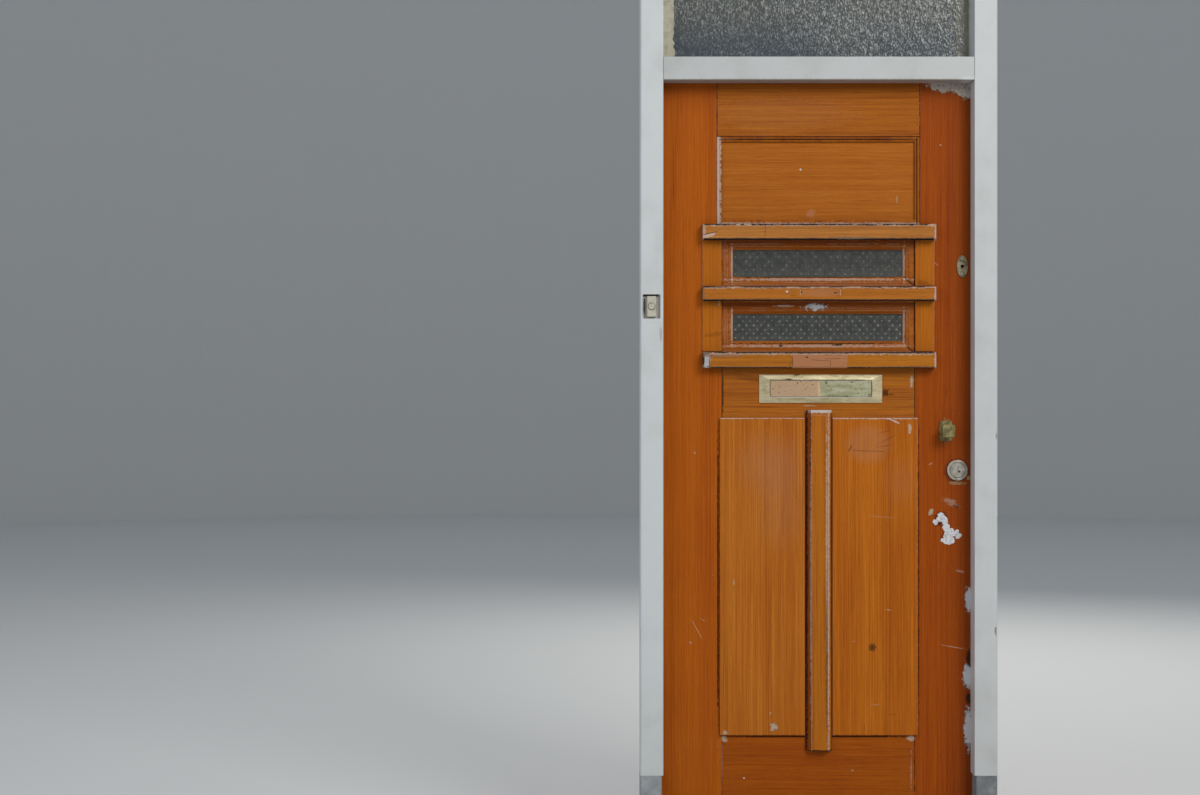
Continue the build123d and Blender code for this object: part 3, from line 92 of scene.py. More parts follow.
class Side(Enum):
    """An outer edge of a piece, as an axis of space and which end of it."""

    LEFT = (0, 0)
    RIGHT = (0, 1)
    FOOT = (2, 0)
    TOP = (2, 1)


class Tone(Enum):
    """The colours of what wear and repair have left on the door; some of them also paint shade and
    highlights.
    """

    # White filler, and painted glints on the keyhole and the letter plate.
    FILLER = srgb(206, 208, 210)
    CHALK = srgb(186, 170, 152)
    SANDED = srgb(176, 122, 88)
    PINK = srgb(186, 136, 108)
    # Flaked varnish, and painted highlights along the letter plate's mitres.
    FLAKE = srgb(198, 172, 155)
    BARE = srgb(132, 112, 96)
    KNOT = srgb(104, 62, 22)
    # Dirt, and painted shade in the bell pocket, beside raised pieces and round the lock fittings.
    DIRT = srgb(44, 26, 16)
    # Deep red-brown for scratches, and painted shade under the transom and ledges and towards the frame.
    DEEP = srgb(112, 44, 12)
    PUTTY = srgb(168, 146, 108)


class Wire:
    """An output socket that takes part in Python expressions: each operator adds its Math node."""

    def __init__(self, shader: "Shader", socket: bpy.types.NodeSocket) -> None:
        """Wraps one output socket of a shader's nodes."""
        self.shader = shader
        self.socket = socket

    def maths(self, operation: str, *values: "Wire | float") -> "Wire":
        """Adds a Math node.

        Args:
            operation: the node's operation.
            values: what goes into its sockets, in order.

        Returns:
            The node's output.
        """
        made = self.shader.node("ShaderNodeMath", {"operation": operation}, dict(enumerate(values)))
        return Wire(self.shader, made.outputs[0])

    def __add__(self, other: "Wire | float") -> "Wire":
        """This value plus another."""
        return self.maths("ADD", self, other)

    def __radd__(self, other: float) -> "Wire":
        """A number plus this value."""
        return self.maths("ADD", other, self)

    def __sub__(self, other: "Wire | float") -> "Wire":
        """This value less another."""
        return self.maths("SUBTRACT", self, other)

    def __rsub__(self, other: float) -> "Wire":
        """A number less this value."""
        return self.maths("SUBTRACT", other, self)

    def __mul__(self, other: "Wire | float") -> "Wire":
        """This value times another."""
        return self.maths("MULTIPLY", self, other)

    def __rmul__(self, other: float) -> "Wire":
        """A number times this value."""
        return self.maths("MULTIPLY", other, self)

    def __truediv__(self, other: "Wire | float") -> "Wire":
        """This value divided by another."""
        return self.maths("DIVIDE", self, other)

    def __abs__(self) -> "Wire":
        """The size of this value, without its sign."""
        return self.maths("ABSOLUTE", self)

    def step(self, low: float, high: float) -> "Wire":
        """A soft step.

        Args:
            low: where the value begins to rise from 0.
            high: where it reaches 1.

        Returns:
            The value from 0 to 1.
        """
        made = self.shader.node(
            "ShaderNodeMapRange", {"interpolation_type": "SMOOTHSTEP"},
            {0: self, 1: low, 2: high, 3: 0.0, 4: 1.0},
        )
        return Wire(self.shader, made.outputs[0])

    def larger(self, other: "Wire | float") -> "Wire":
        """The larger of this value and another."""
        return self.maths("MAXIMUM", self, other)


class Shader:
    """A node material under construction, round one Principled BSDF."""

    def __init__(self, name: str) -> None:
        """Makes an empty node material of that name."""
        self.material = bpy.data.materials.new(name)
        self.material.use_nodes = True
        self.tree = self.material.node_tree
        self.tree.nodes.clear()
        self.surface = self.node("ShaderNodeBsdfPrincipled")
        output = self.node("ShaderNodeOutputMaterial")
        self.tree.links.new(self.surface.outputs[0], output.inputs[0])
        self.place = Wire(self, self.node("ShaderNodeTexCoord").outputs["Object"])
        self.axes = self.node("ShaderNodeSeparateXYZ", inputs={0: self.place})
        self.street = 1.0 - self.axis(1).step(STREET_DEPTH, STREET_DEPTH + STREET_BLEND)

    def node(
        self,
        kind: str,
        settings: dict[str, object] | None = None,
        inputs: dict[int | str, object] | None = None,
    ) -> bpy.types.Node:
        """Adds one node.

        Args:
            kind: the node's type.
            settings: its properties, set first; "stops" are a colour ramp's stops.
            inputs: its sockets by number or name, each a Wire to link or a value to set.

        Returns:
            The node.
        """
        made = self.tree.nodes.new(kind)
        for key, value in (settings or {}).items():
            if key == "stops":
                elements = made.color_ramp.elements
                while len(elements) < len(value):
                    elements.new(0.5)
                for element, (position, colour) in zip(elements, value):
                    element.position = position
                    element.color = (*colour, 1.0)
            else:
                setattr(made, key, value)
        for key, value in (inputs or {}).items():
            if isinstance(value, Wire):
                self.tree.links.new(value.socket, made.inputs[key])
            elif isinstance(value, tuple) and len(value) == 3 and made.inputs[key].type == "RGBA":
                made.inputs[key].default_value = (*value, 1.0)
            else:
                made.inputs[key].default_value = value
        return made

    def axis(self, number: int) -> Wire:
        """The place along X, Y or Z, by its number."""
        return Wire(self, self.axes.outputs[number])

    def mapped(self, scale: Point, offset: float = 0.0) -> Wire:
        """The place, stretched and moved.

        Args:
            scale: how much the pattern is squeezed along each axis.
            offset: how far it is moved along all of them, to show another stretch of it.

        Returns:
            The pattern's coordinates.
        """
        made = self.node(
            "ShaderNodeMapping", {"vector_type": "POINT"},
            {"Vector": self.place, "Location": (offset, offset, offset), "Scale": scale},
        )
        return Wire(self, made.outputs[0])

    def noise(self, where: Wire, scale: float, detail: float = 3.0, rough: float = 0.5) -> Wire:
        """Cloudy noise.

        Args:
            where: its coordinates.
            scale: cells a metre.
            detail: how many finer layers it has.
            rough: how strong they are.

        Returns:
            The noise, from 0 to 1.
        """
        made = self.node(
            "ShaderNodeTexNoise",
            inputs={"Vector": where, "Scale": scale, "Detail": detail, "Roughness": rough},
        )
        return Wire(self, made.outputs[0])

    def cells(self, where: Wire, scale: float, feature: str = "F1") -> Wire:
        """The distance from the points of a Voronoi pattern.

        Args:
            where: its coordinates.
            scale: cells a metre.
            feature: which distance is given.

        Returns:
            The distance, in cells.
        """
        made = self.node("ShaderNodeTexVoronoi", {"feature": feature}, {"Vector": where, "Scale": scale})
        return Wire(self, made.outputs["Distance"])

    def ramp(self, value: Wire, stops: Sequence[tuple[float, Colour]]) -> Wire:
        """A colour ramp over a value from 0 to 1."""
        made = self.node("ShaderNodeValToRGB", {"stops": stops}, {0: value})
        return Wire(self, made.outputs[0])

    def mix(
        self, share: Wire | float, first: Wire | Colour, second: Wire | Colour, how: str = "MIX"
    ) -> Wire:
        """Mixes two colours.

        Args:
            share: how much of the second shows.
            first, second: the colours.
            how: the way they are mixed.

        Returns:
            The colour.
        """
        made = self.node(
            "ShaderNodeMix", {"data_type": "RGBA", "blend_type": how, "clamp_factor": True},
            {0: share, 6: first, 7: second},
        )
        return Wire(self, made.outputs[2])

    def softened(self, radius: float) -> tuple[Wire, Wire]:
        """Rounds the look of all arrises.

        Args:
            radius: the radius of the rounding, in metres.

        Returns:
            The rounded normal, and a mask that is above 0 near an arris.
        """
        rounded = Wire(self, self.node("ShaderNodeBevel", {"samples": 4}, {"Radius": radius}).outputs[0])
        flat = Wire(self, self.node("ShaderNodeNewGeometry").outputs["True Normal"])
        facing = self.node("ShaderNodeVectorMath", {"operation": "DOT_PRODUCT"}, {0: rounded, 1: flat})
        return rounded, 1.0 - Wire(self, facing.outputs["Value"])

    def bump(self, height: Wire, depth: float, base: Wire | None = None) -> Wire:
        """Turns a height into a normal.

        Args:
            height: the height, from 0 to 1.
            depth: how many metres that stands for.
            base: the normal that it is laid over.

        Returns:
            The normal.
        """
        inputs = {"Height": height, "Distance": depth, "Strength": 1.0}
        if base is not None:
            inputs["Normal"] = base
        return Wire(self, self.node("ShaderNodeBump", inputs=inputs).outputs[0])

    def finish(self, **sockets: Wire | float | Colour) -> bpy.types.Material:
        """Feeds the Principled BSDF.

        Args:
            sockets: its sockets by name, with _ for a space; a number is set and a Wire linked.

        Returns:
            The material.
        """
        for key, value in sockets.items():
            name = key.replace("_", " ")
            socket = self.surface.inputs[name]
            if isinstance(value, Wire):
                self.tree.links.new(value.socket, socket)
            elif isinstance(value, tuple):
                socket.default_value = (*value, 1.0)
            else:
                socket.default_value = value
        return self.material


@dataclass(frozen=True)
class Mark:
    """A blemish, a painted shadow or a painted glint at a place of the door's face: an ellipse with a
    ragged outline, in metres.
    """

    x: float
    z: float
    half_width: float
    half_height: float
    tone: Tone
    strength: float = 1.0
    ragged: float = 0.7
    tilt: float = 0.0
    raised: float = 0.0
    soft: float = 0.14
    boxy: bool = False

    def mask(self, shader: Shader, ragged_noise: Wire) -> Wire:
        """Where the mark is.

        Args:
            shader: the material that it is on.
            ragged_noise: the noise that tears its outline.

        Returns:
            The mask, from 0 to its strength.
        """
        mapping = shader.node(
            "ShaderNodeMapping", {"vector_type": "TEXTURE"},
            {
                "Vector": shader.place, "Location": (self.x, 0.0, self.z),
                "Rotation": (0.0, math.radians(self.tilt), 0.0),
                "Scale": (self.half_width, MARK_DEPTH, self.half_height),
            },
        )
        offset = Wire(shader, mapping.outputs[0])
        if self.boxy:
            parts = shader.node("ShaderNodeSeparateXYZ", inputs={0: offset})
            away = abs(Wire(shader, parts.outputs[0])).larger(abs(Wire(shader, parts.outputs[2])))
        else:
            length = shader.node("ShaderNodeVectorMath", {"operation": "LENGTH"}, {0: offset})
            away = Wire(shader, length.outputs["Value"])
        inside = 1.0 - away + (ragged_noise - 0.5) * (MARK_TEAR * self.ragged)
        return inside.step(0.0, self.soft) * shader.street * self.strength


def band(
    tone: Tone,
    x: float,
    z: float,
    half_width: float,
    half_height: float,
    strength: float,
    ragged: float,
    soft: float = 0.14,
) -> Mark:
    """A straight-edged mark, for a line or a patch that follows a joint; its values are a Mark's."""
    return Mark(x, z, half_width, half_height, tone, strength, ragged, soft=soft, boxy=True)


def marks_of(tone: Tone, *rows: tuple[float, ...]) -> tuple[Mark, ...]:
    """Several marks of one tone.

    Args:
        tone: their tone.
        rows: a Mark's other values of each, in order: x, z, half width, half height, and as far as
            needed its strength, raggedness, tilt and rise.

    Returns:
        The marks.
    """
    return tuple(Mark(*row[:4], tone, *row[4:]) for row in rows)


@dataclass(frozen=True)
class EdgeWearAndShade:
    """Wear that runs along one side of a piece, in metres from that side; also painted shade along the
    shaded side of raised pieces.
    """

    side: Side
    reach: float
    amount: float
    tone: Tone
    strength: float = 0.85

    def mask(self, shader: Shader, box: Box, ragged_noise: Wire, patches: Wire) -> Wire:
        """Where the band is.

        Args:
            shader: the material that it is on.
            box: the piece's lowest and highest corner.
            ragged_noise: the noise that tears its edge.
            patches: the noise that makes it come and go along the side.

        Returns:
            The mask, from 0 to its strength.
        """
        number, end = self.side.value
        away = abs(shader.axis(number) - box[end][number])
        here = (patches + (self.amount - 0.5)).step(0.44, 0.54)
        width = here * (((ragged_noise - 0.5) * 2.4 + 0.8) * self.reach)
        return (width - away).step(0.0, self.reach * 0.15) * self.strength


@dataclass(frozen=True)
class Fade:
    """A slow change of tone across a piece, from one place to another along an axis: painted shade under
    the transom and ledges and towards the frame.
    """

    axis: int
    start: float
    end: float
    tone: Tone
    strength: float


class Finish:
    """What a piece can be finished with: each kind wires up its own nodes."""

    def build(self, name: str, box: Box) -> bpy.types.Material:
        """Makes the material for one piece.

        Args:
            name: the material's name.
            box: the lowest and highest corner of the piece.

        Returns:
            The material.
        """
        return self.paint(Shader(name), box)

    def cover(self, *nodes: str) -> None:
        """Gives CAD nodes this finish, each in a material of its own.

        Args:
            nodes: their names.
        """
        for node in nodes:
            material = self.build(f"{node}_finish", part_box(node))
            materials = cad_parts[node].data.materials
            materials.clear()
            materials.append(material)
            LOG.info("dressed %s as %s", node, type(self).__name__)

    def paint(self, shader: Shader, box: Box) -> bpy.types.Material:
        """Wires up the nodes.

        Args:
            shader: the material under construction.
            box: the lowest and highest corner of the piece.

        Returns:
            The material.
        """
        raise NotImplementedError


@dataclass(frozen=True)
class Varnish(Finish):
    """Old orange-brown varnish over wood, with its grain, worn arrises and marks."""

    grain: Grain
    offset: float = 0.0
    body: Colour = srgb(166, 84, 10)
    dark: Colour = srgb(122, 52, 5)
    light: Colour = srgb(190, 114, 20)
    contrast: float = 1.0
    arris: float = 0.5
    cracks: float = 0.25
    wear: tuple[EdgeWearAndShade, ...] = ()
    fades: tuple[Fade, ...] = ()
    marks: tuple[Mark, ...] = ()
    band_scale: float = 30.0
    streak_scale: float = 290.0
    thread_scale: float = 400.0
    crack_scale: float = 560.0
    fine_scale: float = 740.0
    pore_scale: float = 1900.0
    speck_scale: float = 420.0
    grit_scale: float = 460.0
    arris_radius: float = 0.0026
    relief: float = 0.0005

    def paint(self, shader: Shader, box: Box) -> bpy.types.Material:
        """Wires up the wood and its painted shade, then what covers it, then its wear and marks, which
        include painted shadows.
        """
        along = shader.mapped(self.grain.value, self.offset)
        open_place = shader.mapped((1.0, 1.0, 1.0), self.offset)
        bands = shader.noise(along, self.band_scale, 2.0, 0.5)
        streaks = shader.noise(along, self.streak_scale, 3.0, 0.65)
        fine = shader.noise(along, self.fine_scale, 2.0, 0.7)
        clouds = shader.noise(open_place, 3.5, 3.0, 0.5)
        ragged = shader.noise(shader.place, 120.0, 8.0, 0.78)
        patches = shader.noise(open_place, 24.0, 4.0, 0.65)

        tone = bands * 0.22 + streaks * 0.42 + fine * 0.36
        spread = (tone - 0.5) * (3.0 * self.contrast) + 0.5
        colour = shader.ramp(spread, ((0.05, self.dark), (0.5, self.body), (0.95, self.light)))
        colour = shader.mix((clouds - 0.5).step(-0.12, 0.3) * 0.2, colour, self.light)
        pores = (shader.noise(along, self.pore_scale, 2.0, 0.5) * 0.6 + fine * 0.4).step(0.54, 0.66)
        colour = shader.mix(pores * 0.4, colour, self.dark)
        threads = shader.noise(along, self.thread_scale, 1.0, 0.5).step(0.57, 0.65)
        colour = shader.mix(threads * 0.42, colour, self.light)
        # Fades: painted shade under the transom and ledges and towards the frame.
        for fade in self.fades:
            reach = shader.axis(fade.axis).step(fade.start, fade.end)
            if fade.start > fade.end:
                reach = 1.0 - shader.axis(fade.axis).step(fade.end, fade.start)
            colour = shader.mix(reach * fade.strength, colour, fade.tone.value)

        rounded, edges = shader.softened(self.arris_radius)
        nibbled = edges.step(0.015, 0.1) * (patches * 0.7 + ragged * 0.6).step(0.58, 0.68)
        colour = shader.mix(nibbled * self.arris, colour, Tone.FLAKE.value)
        nicked = edges.step(0.01, 0.08) * (patches * 0.5 + ragged).step(0.81, 0.87)
        colour = shader.mix(nicked * self.arris, colour, Tone.DIRT.value)
        grit = shader.noise(open_place, self.grit_scale, 3.0, 0.75)
        colour = shader.mix(grit.step(0.5, 0.75) * 0.3, colour, self.dark)
        colour = shader.mix((1.0 - grit.step(0.3, 0.46)) * 0.16, colour, self.light)
        cracks = shader.noise(along, self.crack_scale, 1.0, 0.5).step(0.66, 0.7) * patches.step(0.5, 0.58)
        colour = shader.mix(cracks * self.cracks, colour, Tone.DIRT.value)
        specks = shader.noise(open_place, self.speck_scale, 1.0, 0.5).step(0.76, 0.79)
        colour = shader.mix(specks * 0.5, colour, Tone.CHALK.value)

        bare = nibbled * self.arris
        height = streaks * 0.5 - pores * 0.5 - nibbled * 0.8
        # Edge bands: wear, and painted shade along the shaded sides of raised pieces.
        for worn in self.wear:
            mask = worn.mask(shader, box, ragged, patches)
            colour = shader.mix(mask, colour, worn.tone.value)
            bare = bare.larger(mask)
            height = height - mask * 1.5
        for mark in self.marks:
            mask = mark.mask(shader, ragged)
            colour = shader.mix(mask, colour, mark.tone.value)
            bare = bare.larger(mask)
            height = height + mask * mark.raised
        rough = 0.5 + streaks * 0.14 + bare * 0.3
        return shader.finish(
            Base_Color=colour, Roughness=rough, Normal=shader.bump(height, self.relief, rounded),
            Specular_IOR_Level=0.1,
        )


@dataclass(frozen=True)
class Seam:
    """A hairline crack in the paint, over a joint: a line at one place along an axis, in metres."""

    axis: int
    place: float
    width: float = 0.0007


@dataclass(frozen=True)
class FramePaint(Finish):
    """Brushed pale paint on wood, with dust, chips on the arrises and cracks over the joints."""

    grain: Grain
    colour: Colour = srgb(208, 212, 213)
    grime: Colour = srgb(150, 148, 138)
    seams: tuple[Seam, ...] = ()
    marks: tuple[Mark, ...] = ()

    def paint(self, shader: Shader, box: Box) -> bpy.types.Material:
        """Wires up the paint, then its chips, cracks and marks."""
        along = shader.mapped(self.grain.value)
        brush = shader.noise(along, 460.0, 4.0, 0.6)
        wave = shader.noise(along, 60.0, 2.0, 0.5)
        clouds = shader.noise(shader.place, 6.0, 4.0, 0.6)
        ragged = shader.noise(shader.place, 240.0, 6.0, 0.7)
        colour = shader.mix((clouds - 0.45).step(0.0, 0.3) * 0.22, self.colour, self.grime)
        colour = shader.mix(brush.step(0.5, 0.8) * 0.08, colour, self.grime)
        foot = 1.0 - shader.axis(2).step(box[0].z, box[0].z + 0.35)
        colour = shader.mix(foot * clouds * 0.35, colour, self.grime)
        rounded, edges = shader.softened(0.0016)
        chips = edges.step(0.03, 0.15) * (clouds * 0.5 + ragged * 0.7).step(0.74, 0.8)
        colour = shader.mix(chips * 0.55, colour, Tone.BARE.value)
        height = brush * 0.4 + wave * 0.8 - chips
        for seam in self.seams:
            line = 1.0 - abs(shader.axis(seam.axis) - seam.place).step(seam.width * 0.4, seam.width)
            cracked = line * ragged.step(0.3, 0.55)
            colour = shader.mix(cracked * 0.7, colour, Tone.DIRT.value)
            height = height - cracked * 2.0
        for mark in self.marks:
            mask = mark.mask(shader, ragged)
            colour = shader.mix(mask, colour, mark.tone.value)
            height = height + mask * mark.raised
        return shader.finish(
            Base_Color=colour, Roughness=0.42 + clouds * 0.16 + chips * 0.2,
            Normal=shader.bump(height, 0.00035, rounded), Specular_IOR_Level=0.35,
        )


@dataclass(frozen=True)
class PlinthStone(Finish):
    """Sawn grey stone, pitted, with a paler weathered skin."""

    colour: Colour = srgb(118, 121, 124)
    pale: Colour = srgb(168, 171, 174)
    dark: Colour = srgb(74, 75, 76)

    def paint(self, shader: Shader, box: Box) -> bpy.types.Material:
        """Wires up the stone, the same on every block."""
        clouds = shader.noise(shader.place, 16.0, 6.0, 0.65)
        grit = shader.noise(shader.place, 520.0, 4.0, 0.7)
        pits = 1.0 - shader.cells(shader.place, 150.0).step(0.08, 0.3)
        pits = pits * clouds.step(0.45, 0.6)
        colour = shader.ramp(
            clouds * 0.6 + grit * 0.4, ((0.3, self.dark), (0.5, self.colour), (0.72, self.pale)),
        )
        colour = shader.mix(pits * 0.6, colour, self.dark)
        rounded, edges = shader.softened(0.003)
        colour = shader.mix(edges.step(0.02, 0.2) * 0.4, colour, self.pale)
        return shader.finish(
            Base_Color=colour, Roughness=0.72 + grit * 0.2,
            Normal=shader.bump(clouds * 0.5 + grit * 0.4 - pits, 0.0012, rounded),
        )


@dataclass(frozen=True)
class GlazingPutty(Finish):
    """Cream glazing putty, smeared by thumb, grey with dust in its hollows."""

    colour: Colour = srgb(188, 184, 164)
    dust: Colour = srgb(120, 114, 98)

    def paint(self, shader: Shader, box: Box) -> bpy.types.Material:
        """Wires up the putty."""
        smear = shader.noise(shader.place, 60.0, 5.0, 0.6)
        grit = shader.noise(shader.place, 600.0, 3.0, 0.6)
        colour = shader.mix((smear * 0.7 + grit * 0.3).step(0.45, 0.7) * 0.6, self.colour, self.dust)
        return shader.finish(
            Base_Color=colour, Roughness=0.7 + grit * 0.15,
            Normal=shader.bump(smear * 0.8 + grit * 0.2, 0.0015),
        )


@dataclass(frozen=True)
class PebbledGlass(Finish):
    """Cast glass with a pebbled face, through which a dim hall shows as grey."""

    colour: Colour = srgb(127, 130, 128)
    glint: Colour = srgb(162, 166, 164)
    shade: Colour = srgb(86, 89, 88)
    band: Colour = srgb(60, 74, 92)
    edge: Colour = srgb(150, 147, 130)
    edge_start: float = 0.392

    def paint(self, shader: Shader, box: Box) -> bpy.types.Material:
        """Wires up the pane, with the haze along its foot and the light at its right."""
        slant = shader.node(
            "ShaderNodeMapping", {"vector_type": "POINT"},
            {
                "Vector": shader.place, "Rotation": (0.0, math.radians(-24.0), 0.0),
                "Scale": (1.0, 0.3, 0.55),
            },
        )
        pebbles = shader.cells(Wire(shader, slant.outputs[0]), 270.0, "SMOOTH_F1")
        ripples = shader.noise(Wire(shader, slant.outputs[0]), 150.0, 3.0, 0.55)
        clouds = shader.noise(shader.place, 3.2, 3.0, 0.6)
        relief = pebbles * 0.6 + ripples * 0.6
        colour = shader.ramp(relief, ((0.34, self.glint), (0.46, self.colour), (0.6, self.shade)))
        colour = shader.mix((clouds - 0.5).step(-0.1, 0.15) * 0.45, colour, srgb(92, 92, 86))
        low = 1.0 - shader.axis(2).step(box[0].z + 0.03, box[0].z + 0.16)
        colour = shader.mix(low * clouds.step(0.3, 0.6) * 0.5, colour, self.band)
        lit = (shader.axis(0) + ripples * 0.012).step(self.edge_start, self.edge_start + 0.012)
        colour = shader.mix(lit * 0.5, colour, self.edge)
        return shader.finish(
            Base_Color=colour, Roughness=0.12 + ripples * 0.1, Normal=shader.bump(relief, 0.0011),
            Transmission_Weight=0.1, IOR=1.5, Specular_IOR_Level=0.4,
        )


@dataclass(frozen=True)
class DarkGlass(Finish):
    """Cast glass in front of a dark hall, a little dusty along its foot."""

    colour: Colour = srgb(66, 68, 66)
    dust: Colour = srgb(106, 106, 98)
    glint: float = 0.35
    patchy: float = 0.35

    def paint(self, shader: Shader, box: Box) -> bpy.types.Material:
        """Wires up the pane."""
        waves = shader.noise(shader.place, 55.0, 3.0, 0.5)
        fine = shader.noise(shader.place, 480.0, 3.0, 0.6)
        low = 1.0 - shader.axis(2).step(box[0].z + 0.025, box[0].z + 0.06)
        colour = shader.mix(waves.step(0.35, 0.7) * self.patchy, self.colour, self.dust)
        colour = shader.mix(low * fine.step(0.35, 0.6) * 0.4, colour, self.dust)
        return shader.finish(
            Base_Color=colour, Roughness=0.18 + fine * 0.16,
            Normal=shader.bump(waves * 0.7 + fine * 0.3, 0.001), Transmission_Weight=0.08, IOR=1.5,
            Specular_IOR_Level=self.glint,
        )


@dataclass(frozen=True)
class WornMetal(Finish):
    """Metal that handling and weather have dulled, with tarnish in clouds and scratches."""

    colour: Colour
    tarnish: Colour
    share: float = 0.5
    rough: float = 0.34
    metallic: float = 0.9
    copper: tuple[float, float] | None = None
    rubbed: Colour = srgb(226, 220, 198)
    stretch: float = 1.0
    marks: tuple[Mark, ...] = ()

    def paint(self, shader: Shader, box: Box) -> bpy.types.Material:
        """Wires up the metal, with copper showing where its brass is worn through."""
        clouds = shader.noise(shader.mapped((self.stretch, 1.0, 1.0)), 70.0, 5.0, 0.65)
        grit = shader.noise(shader.place, 900.0, 3.0, 0.6)
        brushed = shader.noise(shader.mapped((0.08, 1.0, 1.0)), 1500.0, 2.0, 0.5)
        tarnished = (clouds + grit * 0.25 + (self.share - 0.62)).step(0.35, 0.75)
        colour = shader.mix(tarnished, self.colour, self.tarnish)
        if self.copper is not None:
            ragged = (clouds - 0.5) * 0.03
            left = 1.0 - (shader.axis(0) + ragged).step(self.copper[0], self.copper[1])
            colour = shader.mix(left * 0.8, colour, srgb(200, 160, 126))
            worn_strip = (shader.axis(0) + ragged * 0.3).step(self.copper[0] - 0.004, self.copper[0])
            colour = shader.mix(worn_strip * left * 0.7, colour, srgb(230, 198, 158))
            spots = 1.0 - shader.cells(shader.place, 120.0).step(0.14, 0.28)
            spots = spots * clouds.step(0.38, 0.46)
            colour = shader.mix(spots * 0.85, colour, srgb(58, 42, 30))
        rounded, edges = shader.softened(0.0006)
        # Pale arrises: rubbed metal, and painted highlight along the rims.
        colour = shader.mix(edges.step(0.03, 0.2) * 0.6, colour, self.rubbed)
        for mark in self.marks:
            colour = shader.mix(mark.mask(shader, clouds), colour, mark.tone.value)
        return shader.finish(
            Base_Color=colour, Metallic=self.metallic - tarnished * 0.25,
            Roughness=self.rough + tarnished * 0.2 + brushed * 0.08,
            Normal=shader.bump(grit * 0.5 + brushed * 0.5, 0.00008, rounded),
        )


@dataclass(frozen=True)
class AgedPlastic(Finish):
    """Yellowed moulded plastic with a fine skin and dust at its foot."""

    colour: Colour = srgb(196, 191, 172)
    aged: Colour = srgb(156, 146, 120)
    rough: float = 0.42
    ring: tuple[float, float, float] | None = None

    def paint(self, shader: Shader, box: Box) -> bpy.types.Material:
        """Wires up the plastic."""
        clouds = shader.noise(shader.place, 60.0, 4.0, 0.6)
        skin = shader.noise(shader.place, 1600.0, 2.0, 0.5)
        rounded, edges = shader.softened(0.0008)
        colour = shader.mix(clouds.step(0.4, 0.7) * 0.4, self.colour, self.aged)
        colour = shader.mix(edges.step(0.03, 0.2) * 0.25, colour, self.colour)
        if self.ring is not None:
            across = shader.axis(0) - self.ring[0]
            up = shader.axis(2) - self.ring[1]
            squared = across * across + up * up
            away = abs(squared.maths("SQRT", squared) - self.ring[2])
            colour = shader.mix((1.0 - away.step(0.0003, 0.0012)) * 0.75, colour, Tone.DIRT.value)
        return shader.finish(
            Base_Color=colour, Roughness=self.rough + clouds * 0.12,
            Normal=shader.bump(skin, 0.00006, rounded),
        )


@dataclass(frozen=True)
class ChippedLacquer(Finish):
    """Brown stoved lacquer on a pressed case, rubbed to metal on its arrises."""

    colour: Colour = srgb(98, 82, 64)
    metal: Colour = srgb(150, 146, 138)

    def paint(self, shader: Shader, box: Box) -> bpy.types.Material:
        """Wires up the lacquer."""
        clouds = shader.noise(shader.place, 45.0, 4.0, 0.6)
        orange_peel = shader.noise(shader.place, 1100.0, 2.0, 0.5)
        rounded, edges = shader.softened(0.0012)
        rubbed = edges.step(0.04, 0.2) * clouds.step(0.42, 0.55)
        colour = shader.mix(clouds * 0.25, self.colour, srgb(62, 50, 38))
        colour = shader.mix(rubbed, colour, self.metal)
        return shader.finish(
            Base_Color=colour, Metallic=rubbed * 0.8, Roughness=0.38 + orange_peel * 0.1,
            Normal=shader.bump(orange_peel, 0.0001, rounded),
        )


